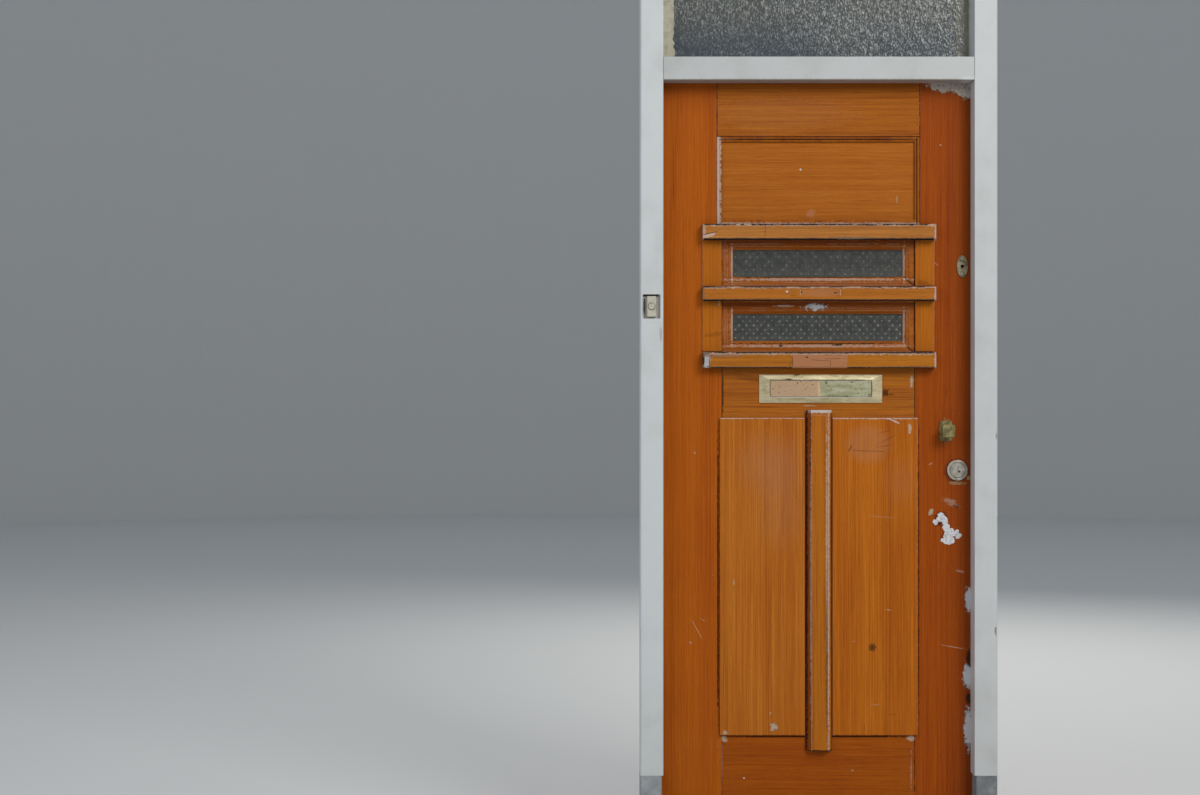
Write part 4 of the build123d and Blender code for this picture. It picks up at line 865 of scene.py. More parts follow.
class Bench:
    """The modelling operators that the new pieces share."""

    @staticmethod
    def start(name: str) -> bpy.types.Object:
        """Names the primitive that was just added, and gives it back."""
        made = bpy.context.active_object
        made.name = name
        made.data.name = name
        return made

    @staticmethod
    def select_none() -> None:
        """Deselects every object."""
        bpy.ops.object.select_all(action="DESELECT")

    @staticmethod
    def only(piece: bpy.types.Object) -> None:
        """Selects one object and nothing else."""
        Bench.select_none()
        piece.select_set(True)
        bpy.context.view_layer.objects.active = piece

    @staticmethod
    def settle(piece: bpy.types.Object) -> None:
        """Puts a piece's place, turn and scale into its mesh."""
        Bench.only(piece)
        bpy.ops.object.transform_apply(location=True, rotation=True, scale=True)

    @staticmethod
    def clouds(name: str, size: float) -> bpy.types.Texture:
        """A cloud texture for displacing, with lumps of a size in metres."""
        texture = bpy.data.textures.new(name, "CLOUDS")
        texture.noise_scale = size
        texture.noise_depth = 2
        return texture

    @staticmethod
    def sheet(name: str, low: Vector, high: Vector, cell: float) -> bpy.types.Object:
        """Adds an upright grid that faces the street.

        Args:
            name: the piece's name.
            low, high: its corners, of one depth.
            cell: the size of its squares.

        Returns:
            The piece, with its place in its mesh.
        """
        size = high - low
        Bench.select_none()
        bpy.ops.mesh.primitive_grid_add(
            x_subdivisions=max(2, round(size.x / cell)), y_subdivisions=max(2, round(size.z / cell)),
            size=1.0, location=(low + high) / 2, rotation=(QUARTER_TURN, 0.0, 0.0),
        )
        made = Bench.start(name)
        made.scale = (size.x, size.z, 1.0)
        Bench.settle(made)
        return made

    @staticmethod
    def keep_front(piece: bpy.types.Object, back: float) -> None:
        """Cuts away all of a piece that lies behind a depth, and closes it there."""
        Bench.only(piece)
        with Bench.editing():
            bpy.ops.mesh.bisect(
                plane_co=(0.0, back, 0.0), plane_no=(0.0, 1.0, 0.0), use_fill=True, clear_outer=True,
            )

    @staticmethod
    def drum(
        name: str, centre: Vector, radius: float, depth: float, along: Vector, sides: int
    ) -> bpy.types.Object:
        """Adds a round drum.

        Args:
            name: the piece's name.
            centre: the middle of its foot.
            radius, depth: its size.
            along: the way it rises from its foot.
            sides: how many sides it has.

        Returns:
            The piece, with its place in its mesh.
        """
        Bench.select_none()
        bpy.ops.mesh.primitive_cylinder_add(
            vertices=sides, radius=radius, depth=depth, location=centre + along * (depth / 2),
            rotation=along.to_track_quat("Z", "Y").to_euler(),
        )
        made = Bench.start(name)
        Bench.settle(made)
        return made

    @staticmethod
    def slab(name: str, low: Vector, high: Vector) -> bpy.types.Object:
        """Adds a square-edged slab between two corners, with its place in its mesh."""
        Bench.select_none()
        bpy.ops.mesh.primitive_cube_add(size=1.0, location=(low + high) / 2)
        made = Bench.start(name)
        made.scale = high - low
        Bench.settle(made)
        return made

    @staticmethod
    @contextmanager
    def editing() -> Iterator[None]:
        """Holds the active piece in edit mode, with all of it selected at first."""
        bpy.ops.object.mode_set(mode="EDIT")
        bpy.ops.mesh.select_all(action="SELECT")
        yield
        bpy.ops.object.mode_set(mode="OBJECT")

    @staticmethod
    def join(pieces: Sequence[bpy.types.Object], name: str) -> bpy.types.Object:
        """Joins several pieces into one, and names it."""
        Bench.select_none()
        for piece in pieces:
            piece.select_set(True)
        bpy.context.view_layer.objects.active = pieces[0]
        bpy.ops.object.join()
        return Bench.start(name)

    @staticmethod
    def apply(piece: bpy.types.Object, kind: str, **settings: object) -> None:
        """Adds a modifier with its settings and applies it."""
        Bench.only(piece)
        modifier = piece.modifiers.new(kind.title(), kind)
        for key, value in settings.items():
            setattr(modifier, key, value)
        bpy.ops.object.modifier_apply(modifier=modifier.name)

    @staticmethod
    def hand_over(piece: bpy.types.Object, body: str, slot: str, material: bpy.types.Material) -> None:
        """Finishes a new piece.

        Args:
            piece: the piece.
            body: the CAD body that it moves with.
            slot: not used.
            material: its material.
        """
        Bench.only(piece)
        bpy.ops.object.shade_smooth_by_angle(angle=SMOOTH_ANGLE)
        piece.data.materials.clear()
        piece.data.materials.append(material)
        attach(piece, body)
        LOG.info("made %s with %d faces", piece.name, len(piece.data.polygons))


@dataclass
class PaintedFrame:
    """The jambs, transom, head, beads and stone feet."""

    seam_inset: float = 0.0004

    def dress(self) -> None:
        """Gives every piece of the frame its material."""
        jamb_low, jamb_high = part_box("jamb_left")
        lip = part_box("transom")
        foot = jamb_low.z
        left_lip = jamb_high.x
        right_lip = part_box("jamb_right")[0].x
        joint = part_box("head")[0].z
        FramePaint(
            Grain.UPRIGHT,
            marks=(
                band(Tone.CHALK, -0.4625, 1.5365, 0.0243, 0.0333, 0.4, 0.1, 0.1),
                # Painted shadow in the bell push's pocket: a dark band under its top and dark lines down
                # its left.
                band(Tone.DIRT, -0.4640, 1.5672, 0.0240, 0.0030, 0.95, 0.1, 0.2),
                Mark(-0.4815, 1.5350, 0.0022, 0.0300, Tone.DIRT, 0.9, 0.5),
                Mark(-0.4860, 1.5380, 0.0014, 0.0260, Tone.DIRT, 0.7, 0.5),
                Mark(-0.4490, 1.5400, 0.0030, 0.0280, Tone.BARE, 0.55, 0.3, soft=0.8),
                Mark(-0.437, 1.46, 0.004, 0.02, Tone.BARE, 0.4),
            ),
            seams=(Seam(2, joint - self.seam_inset),),
        ).cover("jamb_left")
        # A darker copy of the left jamb's paint: painted shade on the right jamb.
        FramePaint(
            Grain.UPRIGHT, colour=srgb(201, 204, 205),
            marks=(
                Mark(0.488, 0.64, 0.003, 0.012, Tone.DIRT, 0.6),
                Mark(0.490, 1.18, 0.002, 0.012, Tone.DIRT, 0.5),
            ),
            seams=(Seam(2, joint - self.seam_inset),),
        ).cover("jamb_right")
        # A darker copy again: painted shade on the transom.
        FramePaint(
            Grain.LEVEL, colour=srgb(197, 201, 202),
            seams=(Seam(0, left_lip + self.seam_inset), Seam(0, right_lip - self.seam_inset)),
            marks=(
                Mark(0.0, lip[0].z, 0.6, 0.003, Tone.BARE, 0.6, 0.5),
                Mark(0.412, lip[0].z + 0.004, 0.02, 0.006, Tone.FILLER, 0.8),
            ),
        ).cover("transom")
        FramePaint(Grain.LEVEL).cover("head")
        FramePaint(Grain.LEVEL).cover("fanlight_bead")
        PlinthStone().cover("threshold", "plinth_right")
        # The left block is a lighter copy of the same stone as the right block and threshold: painted light
        # and shade between the two sides.
        PlinthStone(srgb(150, 154, 157), srgb(190, 193, 196), srgb(98, 100, 101)).cover("plinth_left")
        WornMetal(srgb(110, 106, 100), srgb(92, 60, 40), 0.6, 0.6).cover("jamb_dowels")
        steel = WornMetal(srgb(170, 168, 162), srgb(110, 104, 96), 0.45, 0.38)
        steel.cover("frame_screws", "hinge_jamb_halves", "hinge_pins")
        ChippedLacquer().cover("latch_keeper", "bolt_keeper")


@dataclass
class Fanlight:
    """The figured pane above the transom, with its bedding of putty."""

    sight: tuple[Point, Point] = ((-0.409, 0.0, 2.229), (0.428, 0.0, 2.565))
    cell: float = 0.0030
    lump: float = 0.0115
    slant: float = 24.0
    stretch: float = 2.2
    relief: float = 0.0017
    stand_off: float = 0.001
    thickness: float = 0.0012
    smear_right: float = -0.3975
    smear_wander: float = 0.016
    smear_lump: float = 0.02
    smear_depth: float = 0.0022
    thumb_lump: float = 0.012
    thumb_depth: float = 0.0012

    def dress(self) -> None:
        """Gives pane and putty their materials, casts the pane's relief and smears putty along its left."""
        glass = PebbledGlass()
        putty = GlazingPutty()
        glass.cover("fanlight_glass")
        putty.cover("fanlight_putty")
        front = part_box("fanlight_glass")[0].y
        self.cast_relief(front, glass)
        self.smear_putty(front, putty)

    def corner(self, which: int, depth: float) -> Vector:
        """A corner of the visible pane, at a depth."""
        x, _, z = self.sight[which]
        return Vector((x, depth, z))

    def cast_relief(self, front: float, finish: PebbledGlass) -> None:
        """Lays the slanting drops of the figured glass over the pane.

        Args:
            front: the depth of the pane's front.
            finish: the glass.
        """
        depth = front - self.stand_off
        sheet = Bench.sheet("fanlight_relief", self.corner(0, depth), self.corner(1, depth), self.cell)
        guide = bpy.data.objects.new("drop_guide", None)
        bpy.context.scene.collection.objects.link(guide)
        guide.rotation_euler = (0.0, math.radians(self.slant), 0.0)
        guide.scale = (1.0, 1.0, self.stretch)
        bpy.context.view_layer.update()
        Bench.apply(
            sheet, "DISPLACE", texture=Bench.clouds("drops", self.lump), texture_coords="OBJECT",
            texture_coords_object=guide, strength=self.relief, mid_level=0.5,
        )
        bpy.data.objects.remove(guide)
        Bench.apply(sheet, "SOLIDIFY", thickness=self.thickness, offset=-1.0)
        material = finish.build("fanlight_relief_finish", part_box("fanlight_glass"))
        Bench.hand_over(sheet, "frame", "fanlight_glass", material)

    def smear_putty(self, front: float, finish: GlazingPutty) -> None:
        """Smears a thin tongue of putty over the pane's left edge.

        Args:
            front: the depth of the pane's front.
            finish: the putty.
        """
        depth = front - self.smear_depth
        low, high = self.corner(0, depth), self.corner(1, depth)
        high.x = self.smear_right
        middle = (low.x + high.x) / 2
        smear = Bench.sheet("fanlight_smear", low, high, self.cell)
        inner = smear.vertex_groups.new(name="inner")
        inner.add([v.index for v in smear.data.vertices if v.co.x > middle], 1.0, "REPLACE")
        Bench.apply(
            smear, "DISPLACE", texture=Bench.clouds("smear", self.smear_lump), texture_coords="LOCAL",
            strength=self.smear_wander, mid_level=0.55, direction="X", vertex_group="inner",
        )
        smear.vertex_groups.clear()
        thumbed = Bench.clouds("thumbed", self.thumb_lump)
        Bench.apply(smear, "DISPLACE", texture=thumbed, texture_coords="LOCAL", strength=self.thumb_depth)
        Bench.apply(smear, "SOLIDIFY", thickness=self.thickness, offset=-1.0)
        material = finish.build("fanlight_smear_finish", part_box("fanlight_putty"))
        Bench.hand_over(smear, "frame", "putty", material)


@dataclass
class Filler:
    """White filler, trowelled into the lock stile and never painted: lumps by X, Z and radius."""

    lumps: tuple[Point, ...] = (
        (0.3470, 0.9550, 0.0088), (0.3550, 0.9450, 0.0092), (0.3400, 0.9450, 0.0070),
        (0.3320, 0.9370, 0.0072), (0.3580, 0.9370, 0.0080), (0.3620, 0.9220, 0.0100),
        (0.3740, 0.9100, 0.0095), (0.3670, 0.9000, 0.0115), (0.3710, 0.8870, 0.0110),
        (0.3510, 0.8870, 0.0052), (0.3600, 0.8830, 0.0072), (0.3850, 0.9030, 0.0062),
        (0.3925, 0.9095, 0.0058), (0.3990, 0.9020, 0.0056), (0.3935, 0.8950, 0.0058),
    )
    corner_lumps: tuple[Point, ...] = (
        (0.3300, 2.1560, 0.0120), (0.3550, 2.1560, 0.0160), (0.3840, 2.1560, 0.0150),
        (0.4080, 2.1500, 0.0200), (0.4240, 2.1340, 0.0120),
    )
    height: float = 0.0011
    voxel: float = 0.0007
    buried: float = 0.0003
    edge_size: float = 0.011
    edge_share: float = 1.1
    trowel_size: float = 0.008
    trowel_depth: float = 0.0006

    def build(self) -> None:
        """Makes the splotch below the lock and the one in the top corner."""
        self.trowel("filler_below_lock", self.lumps, srgb(210, 211, 214), srgb(142, 134, 130))
        self.trowel("filler_top_corner", self.corner_lumps, srgb(176, 164, 154), srgb(104, 82, 66))

    def trowel(self, name: str, lumps: Sequence[Point], clean: Colour, soiled: Colour) -> None:
        """Makes one splotch out of lumps that run into each other.

        Args:
            name: the piece's name.
            lumps: its lumps.
            clean: its colour where it is still clean.
            soiled: its colour under dust.
        """
        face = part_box("lock_stile")[0].y
        ragged = Bench.clouds(f"{name}_edge", self.edge_size)
        made = [self.lump(name, Vector((x, face, z)), radius, ragged) for x, z, radius in lumps]
        splotch = Bench.join(made, name)
        Bench.apply(splotch, "REMESH", mode="VOXEL", voxel_size=self.voxel)
        trowel_marks = Bench.clouds(f"{name}_trowel", self.trowel_size)
        Bench.apply(
            splotch, "DISPLACE", texture=trowel_marks, texture_coords="LOCAL", strength=self.trowel_depth,
        )
        Bench.keep_front(splotch, face + self.buried)
        shader = Shader(f"{name}_finish")
        dust = shader.noise(shader.place, 160.0, 5.0, 0.6)
        colour = shader.mix(dust.step(0.46, 0.7) * 0.7, clean, soiled)
        finish = shader.finish(Base_Color=colour, Roughness=0.85, Normal=shader.bump(dust, 0.0006))
        Bench.hand_over(splotch, "door_leaf", "putty", finish)

    def lump(
        self, name: str, centre: Vector, radius: float, ragged: bpy.types.Texture
    ) -> bpy.types.Object:
        """Makes one flat ragged lump.

        Args:
            name: the splotch's name.
            centre: its middle, on the stile's face.
            radius: its radius.
            ragged: what tears its outline.

        Returns:
            The lump.
        """
        Bench.select_none()
        bpy.ops.mesh.primitive_ico_sphere_add(subdivisions=5, radius=radius, location=centre)
        made = Bench.start(f"{name}_lump")
        Bench.settle(made)
        depth = self.edge_share * radius
        Bench.apply(
            made, "DISPLACE", texture=ragged, texture_coords="LOCAL", strength=depth, mid_level=0.4,
        )
        with Bench.editing():
            bpy.ops.transform.resize(value=(1.0, self.height / radius, 1.0), center_override=centre)
        return made


@dataclass
class LeafWood:
    """All the varnished pieces of the leaf, each with its own stretch of grain and its own wear."""

    joint_inset: float = 0.001
    joint_half_width: float = 0.0021
    joint_middle: float = 1.2
    joint_reach: float = 1.3

    def shoulders(self, opening: str | None = None) -> tuple[Mark, ...]:
        """The dark broken lines over a rail's two shoulders.

        Args:
            opening: a node that fills the opening between the stiles there, or None for their widest part.

        Returns:
            The two lines.
        """
        left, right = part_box("hinge_stile")[1].x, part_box("lock_stile")[0].x
        if opening is not None:
            low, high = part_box(opening)
            left, right = low.x, high.x
        return tuple(
            band(Tone.DIRT, x, self.joint_middle, self.joint_half_width, self.joint_reach, 0.9, 0.6, 0.3)
            for x in (left + self.joint_inset, right - self.joint_inset)
        )

    def dress(self) -> None:
        """Gives every wooden piece of the leaf its material."""
        self.dress_stiles()
        self.dress_rails()
        self.dress_panels()
        self.dress_ledges()
        self.dress_beads()

    def dress_stiles(self) -> None:
        """The two stiles: darker and redder towards the top and the frame in painted shade, flaking on the
        lock side.
        """
        low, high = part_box("hinge_stile")
        panel_low, panel_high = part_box("lower_panel_left")
        panel_middle = (panel_low.z + panel_high.z) / 2
        panel_reach = (panel_high.z - panel_low.z) / 2
        panel_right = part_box("lower_panel_right")[1].x
        Varnish(
            Grain.UPRIGHT, 0.31, body=srgb(174, 85, 13), dark=srgb(132, 55, 5), light=srgb(190, 103, 14),
            # Painted shade under the transom at the stile's top.
            contrast=0.7, arris=0.35, fades=(Fade(2, high.z - 0.12, high.z, Tone.DEEP, 0.35),),
            wear=(EdgeWearAndShade(Side.LEFT, 0.004, 0.35, Tone.CHALK, 0.5),),
            marks=(
                # A painted shadow cast by the raised left panel on the stile.
                band(Tone.DIRT, panel_low.x - 0.0022, panel_middle, 0.0024, panel_reach, 0.9, 0.5, 0.4),
                *marks_of(
                    Tone.CHALK, (-0.333, 0.635, 0.034, 0.0012, 0.5, 0.4, 62.0),
                    (-0.352, 0.600, 0.006, 0.003, 0.4), (-0.318, 0.664, 0.010, 0.0012, 0.4, 0.4, 30.0),
                    (-0.29, 0.79, 0.004, 0.001, 0.3, 0.3, 60.0), (-0.340, 1.13, 0.003, 0.003, 0.5),
                ),
                Mark(-0.400, 1.90, 0.002, 0.10, Tone.DEEP, 0.5, 0.3),
            ),
        ).cover("hinge_stile")
        low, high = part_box("lock_stile")
        Varnish(
            # Darker than the hinge stile's varnish: painted shade where the frame shades this stile.
            Grain.UPRIGHT, 0.77, body=srgb(157, 70, 7), dark=srgb(112, 41, 4), light=srgb(178, 90, 12),
            contrast=0.75, arris=0.4,
            # Painted shade towards the frame and under the transom.
            fades=(Fade(0, 0.33, 0.43, Tone.DEEP, 0.5), Fade(2, high.z - 0.15, high.z, Tone.DEEP, 0.3)),
            wear=(EdgeWearAndShade(Side.RIGHT, 0.018, 0.30, Tone.CHALK, 0.6),),
            marks=(
                band(Tone.DIRT, panel_right + 0.0016, panel_middle, 0.0018, panel_reach, 0.8, 0.8, 0.4),
                Mark(0.372, 2.166, 0.066, 0.030, Tone.FLAKE, 0.8, 0.5, 0.0, 3.0),
                Mark(0.418, 2.150, 0.020, 0.030, Tone.CHALK, 0.8, 0.6, 0.0, 2.0),
                *marks_of(
                    Tone.DIRT, (0.348, 0.948, 0.019, 0.022, 0.55, 0.5),
                    (0.334, 0.935, 0.011, 0.010, 0.6, 0.5), (0.366, 0.898, 0.021, 0.024, 0.5, 0.5),
                    (0.393, 0.902, 0.012, 0.012, 0.5, 0.4),
                ),
                # Painted shadows round the cylinder rose, the pull knob and the oval plate.
                Mark(0.390, 1.079, 0.0410, 0.0410, Tone.DIRT, 0.85, 0.2, soft=0.5),
                Mark(0.357, 1.190, 0.0290, 0.0370, Tone.DIRT, 0.55, 0.25, soft=0.6),
                Mark(0.4065, 1.651, 0.0200, 0.0340, Tone.DIRT, 0.5, 0.25, soft=0.6),
                Mark(0.319, 0.966, 0.007, 0.010, Tone.CHALK, 0.75, 0.6, 30.0, 1.0),
                Mark(0.390, 0.981, 0.0055, 0.0055, Tone.DIRT, 0.9, 0.3, 0.0, -4.0),
                Mark(0.376, 0.992, 0.020, 0.010, Tone.CHALK, 0.35, 1.0, 20.0),
                Mark(0.424, 0.722, 0.011, 0.036, Tone.FILLER, 0.9, 0.6, 0.0, 2.0),
                Mark(0.422, 0.507, 0.014, 0.036, Tone.FILLER, 0.9, 0.5, 0.0, 2.0),
                Mark(0.426, 0.557, 0.008, 0.026, Tone.DIRT, 0.85, 0.4),
                Mark(0.426, 0.443, 0.009, 0.016, Tone.DIRT, 0.85, 0.4),
                Mark(0.424, 0.360, 0.014, 0.058, Tone.FILLER, 0.85, 0.6, 0.0, 2.0),
                Mark(0.383, 0.588, 0.036, 0.0010, Tone.CHALK, 0.6, 0.4, 10.0),
                Mark(0.400, 0.80, 0.012, 0.003, Tone.CHALK, 0.35, 0.8, 10.0),
                *marks_of(
                    Tone.PUTTY, (0.393, 1.046, 0.022, 0.005, 0.5, 0.6, 0.0, 1.0),
                    (0.424, 1.060, 0.008, 0.006, 0.6, 0.6), (0.361, 1.192, 0.021, 0.034, 0.35, 0.5),
                ),
                Mark(0.332, 1.66, 0.012, 0.001, Tone.CHALK, 0.5, 0.4, 40.0),
                Mark(0.322, 1.72, 0.016, 0.002, Tone.PINK, 0.5, 0.6, -20.0),
                Mark(0.346, 1.99, 0.003, 0.003, Tone.CHALK, 0.5),
                Mark(0.318, 1.10, 0.006, 0.0015, Tone.CHALK, 0.5, 0.5, -30.0),
            ),
        ).cover("lock_stile")

    def dress_rails(self) -> None:
        """The rails and the muntin, with grain along each."""
        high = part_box("top_rail")[1]
        panel_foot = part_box("lower_panel_left")[0].z
        Varnish(
            Grain.LEVEL, 1.13, body=srgb(163, 89, 20), dark=srgb(122, 55, 9), light=srgb(184, 110, 30),
            # Painted shade under the transom along the rail's top.
            contrast=0.9, fades=(Fade(2, high.z - 0.05, high.z, Tone.DEEP, 0.5),),
            marks=(
                Mark(-0.09, 2.08, 0.20, 0.05, Tone.SANDED, 0.12, 0.8), *self.shoulders("upper_moulding"),
            ),
        ).cover("top_rail")
        for offset, node in enumerate(("upper_light_rail", "middle_light_rail")):
            Varnish(Grain.LEVEL, 1.7 + offset, body=srgb(156, 80, 14), marks=self.shoulders()).cover(node)
        Varnish(
            Grain.LEVEL, 2.41, body=srgb(163, 92, 29),
            wear=(
                EdgeWearAndShade(Side.FOOT, 0.004, 0.6, Tone.DIRT, 0.6),
                EdgeWearAndShade(Side.TOP, 0.006, 0.5, Tone.DIRT, 0.5),
            ),
            marks=(
                *self.shoulders(), Mark(0.192, 1.298, 0.010, 0.011, Tone.DIRT, 0.75, 0.7),
                Mark(0.205, 1.293, 0.010, 0.004, Tone.DIRT, 0.5, 0.8),
                Mark(0.265, 1.330, 0.004, 0.016, Tone.CHALK, 0.75, 0.7),
                Mark(-0.185, 1.338, 0.05, 0.010, Tone.KNOT, 0.35, 0.8, 15.0),
                Mark(-0.020, 1.262, 0.020, 0.002, Tone.CHALK, 0.4, 0.7),
                Mark(-0.262, 1.30, 0.003, 0.06, Tone.DIRT, 0.6, 0.6),
            ),
        ).cover("lock_rail")
        Varnish(
            Grain.LEVEL, 3.07, body=srgb(158, 75, 7), dark=srgb(116, 47, 4), light=srgb(176, 95, 14),
            contrast=0.7,
            marks=(
                *self.shoulders(),
                # A painted shadow under the raised lower panels.
                band(Tone.DIRT, 0.005, panel_foot - 0.0022, 0.279, 0.0022, 0.9, 0.4, 0.4),
                *marks_of(
                    Tone.CHALK, (-0.2587, 0.331, 0.010, 0.008, 0.7, 0.7),
                    (0.2636, 0.334, 0.010, 0.008, 0.7, 0.7), (-0.264, 0.27, 0.002, 0.06, 0.22, 1.2),
                    (0.264, 0.24, 0.002, 0.06, 0.3, 1.2), (0.10, 0.243, 0.004, 0.002, 0.7, 0.5),
                ),
                Mark(-0.203, 0.222, 0.003, 0.002, Tone.FILLER, 0.8, 0.4),
            ),
        ).cover("bottom_rail")
        Varnish(Grain.UPRIGHT, 3.9, body=srgb(120, 60, 20), dark=srgb(60, 30, 12)).cover("muntin")

    def dress_panels(self) -> None:
        """The three panels, the moulding round the upper one, and the batten."""
        Varnish(
            Grain.LEVEL, 4.3, body=srgb(171, 95, 24), dark=srgb(142, 71, 13), light=srgb(192, 118, 42),
            contrast=0.8,
            marks=(
                Mark(-0.0436, 1.923, 0.003, 0.003, Tone.FILLER, 0.9, 0.4),
                Mark(0.0, 1.772, 0.27, 0.004, Tone.FLAKE, 0.6, 0.4),
                Mark(0.226, 1.84, 0.002, 0.010, Tone.CHALK, 0.4),
                Mark(-0.015, 1.80, 0.012, 0.012, Tone.PINK, 0.35, 0.8),
            ),
        ).cover("upper_panel")
        low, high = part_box("upper_moulding")
        middle = (low + high) / 2
        Varnish(
            Grain.UPRIGHT, 4.9, body=srgb(154, 80, 18), dark=srgb(100, 42, 9), arris=0.9,
            wear=(
                EdgeWearAndShade(Side.LEFT, 0.018, 1.3, Tone.FLAKE, 0.95),
                EdgeWearAndShade(Side.LEFT, 0.0022, 0.8, Tone.DIRT, 0.8),
                EdgeWearAndShade(Side.TOP, 0.0026, 0.9, Tone.DIRT, 0.85),
                EdgeWearAndShade(Side.RIGHT, 0.003, 0.9, Tone.DIRT, 0.85),
                EdgeWearAndShade(Side.FOOT, 0.010, 1.0, Tone.FLAKE, 0.7),
            ),
            marks=(
                # Painted shade on the moulding's top strip under the top rail, and on its right strip.
                band(Tone.DIRT, middle.x, high.z - 0.009, 0.3, 0.0022, 0.75, 0.1, 0.4),
                band(Tone.DIRT, high.x - 0.009, middle.z, 0.0022, 0.2, 0.7, 0.1, 0.4),
                band(Tone.DEEP, middle.x, high.z - 0.004, 0.3, 0.005, 0.5, 0.1, 0.4),
            ),
        ).cover("upper_moulding")
        panel = Varnish(
            Grain.UPRIGHT, 5.3, body=srgb(178, 98, 24), dark=srgb(142, 69, 12), light=srgb(206, 130, 46),
            contrast=0.8, arris=0.7,
            wear=(
                EdgeWearAndShade(Side.TOP, 0.006, 1.1, Tone.FLAKE, 0.9),
                EdgeWearAndShade(Side.TOP, 0.0018, 0.7, Tone.DIRT, 0.8),
                # Painted shade along the raised panel's foot and left side.
                EdgeWearAndShade(Side.FOOT, 0.004, 0.9, Tone.DIRT, 0.9),
                EdgeWearAndShade(Side.LEFT, 0.0034, 0.9, Tone.DIRT, 0.9),
            ),
            marks=(
                Mark(-0.1207, 0.366, 0.011, 0.011, Tone.CHALK, 0.85, 0.7, 0.0, 1.5),
                # A pale pink sheen over the panel's upper part: painted reflection.
                Mark(-0.13, 1.10, 0.13, 0.12, Tone.SANDED, 0.34, 0.12, soft=0.9),
                Mark(-0.10, 0.98, 0.10, 0.16, Tone.SANDED, 0.22, 0.12, soft=0.9),
                *marks_of(
                    Tone.CHALK, (-0.232, 0.77, 0.002, 0.010, 0.7),
                    (-0.130, 0.405, 0.002, 0.003, 0.8, 0.3), (-0.256, 0.35, 0.008, 0.006, 0.7, 0.7),
                ),
            ),
        )
        panel.cover("lower_panel_left")
        Varnish(
            Grain.UPRIGHT, 6.1, body=srgb(175, 91, 15), dark=srgb(138, 63, 8), light=srgb(206, 122, 32),
            contrast=0.85, arris=0.7,
            wear=(
                EdgeWearAndShade(Side.TOP, 0.007, 1.1, Tone.FLAKE, 0.9),
                EdgeWearAndShade(Side.TOP, 0.0018, 0.7, Tone.DIRT, 0.8),
                # Painted shade along the raised panel's foot.
                EdgeWearAndShade(Side.FOOT, 0.004, 0.9, Tone.DIRT, 0.9),
                EdgeWearAndShade(Side.RIGHT, 0.004, 0.85, Tone.FLAKE, 0.8),
                EdgeWearAndShade(Side.RIGHT, 0.0014, 0.8, Tone.DIRT, 0.9),
            ),
            marks=(
                Mark(0.154, 0.588, 0.011, 0.012, Tone.KNOT, 0.85, 0.3),
                Mark(0.154, 0.588, 0.004, 0.005, Tone.DIRT, 0.6, 0.3),
                Mark(0.142, 1.155, 0.078, 0.066, Tone.SANDED, 0.34, 0.12, soft=0.5),
                Mark(0.235, 1.05, 0.06, 0.09, Tone.SANDED, 0.16, 0.12, soft=0.9),
                Mark(0.143, 1.136, 0.050, 0.0016, Tone.DIRT, 0.4, 0.6, 2.0),
                Mark(0.190, 1.165, 0.030, 0.0012, Tone.DEEP, 0.6, 0.6, -28.0),
                Mark(0.190, 1.150, 0.024, 0.0012, Tone.DEEP, 0.5, 0.6, -10.0),
                Mark(0.182, 0.952, 0.040, 0.0010, Tone.CHALK, 0.35, 0.5, 4.0),
                Mark(0.19, 1.19, 0.02, 0.001, Tone.DEEP, 0.6, 0.4, -15.0),
                Mark(0.093, 1.143, 0.003, 0.012, Tone.DIRT, 0.5, 0.6, 20.0),
                Mark(0.216, 1.219, 0.018, 0.002, Tone.FILLER, 0.7, 0.5, 25.0),
                *marks_of(
                    Tone.CHALK, (0.259, 1.20, 0.005, 0.014, 0.8, 0.6),
                    (0.198, 0.693, 0.010, 0.0015, 0.6, 0.6, 10.0), (0.163, 0.428, 0.012, 0.001, 0.5, 0.5),
                ),
                Mark(0.21, 0.402, 0.014, 0.001, Tone.DEEP, 0.7, 0.5),
                Mark(0.103, 0.605, 0.006, 0.001, Tone.CHALK, 0.5, 0.5),
                Mark(0.133, 0.365, 0.001, 0.009, Tone.DIRT, 0.5, 0.5),
            ),
        ).cover("lower_panel_right")
        low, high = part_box("centre_batten")
        middle = (low.z + high.z) / 2
        Varnish(
            Grain.UPRIGHT, 6.9, body=srgb(182, 105, 27), arris=0.95,
            wear=(
                # Painted shade down the left bevel, which faces away from the light.
                EdgeWearAndShade(Side.LEFT, 0.007, 0.62, Tone.DIRT, 0.9),
                EdgeWearAndShade(Side.RIGHT, 0.003, 0.7, Tone.DIRT, 0.7),
                EdgeWearAndShade(Side.TOP, 0.011, 1.1, Tone.FILLER, 0.75),
                EdgeWearAndShade(Side.FOOT, 0.004, 0.9, Tone.DIRT, 0.9),
            ),
            marks=(
                # The deep band paints shade on the left bevel and the last dark line a shadow beside it;
                # the pale lines are worn varnish.
                band(Tone.DEEP, low.x + 0.0075, middle, 0.0075, 0.6, 0.7, 0.06, 0.1),
                band(Tone.FLAKE, high.x - 0.0095, middle, 0.0030, 0.6, 0.9, 0.75, 0.3),
                band(Tone.FLAKE, low.x + 0.0155, middle, 0.0010, 0.6, 0.4, 0.9, 0.3),
                band(Tone.DIRT, low.x + 0.003, middle, 0.0022, 0.6, 0.9, 0.9, 0.3),
                Mark(-0.019, 0.80, 0.0015, 0.35, Tone.CHALK, 0.5, 1.1),
                Mark(0.026, 0.90, 0.003, 0.30, Tone.CHALK, 0.6, 1.1),
                Mark(0.025, 0.55, 0.003, 0.20, Tone.DIRT, 0.5, 1.2),
                Mark(-0.020, 1.10, 0.002, 0.010, Tone.DIRT, 0.7, 0.6),
            ),
        ).cover("centre_batten")

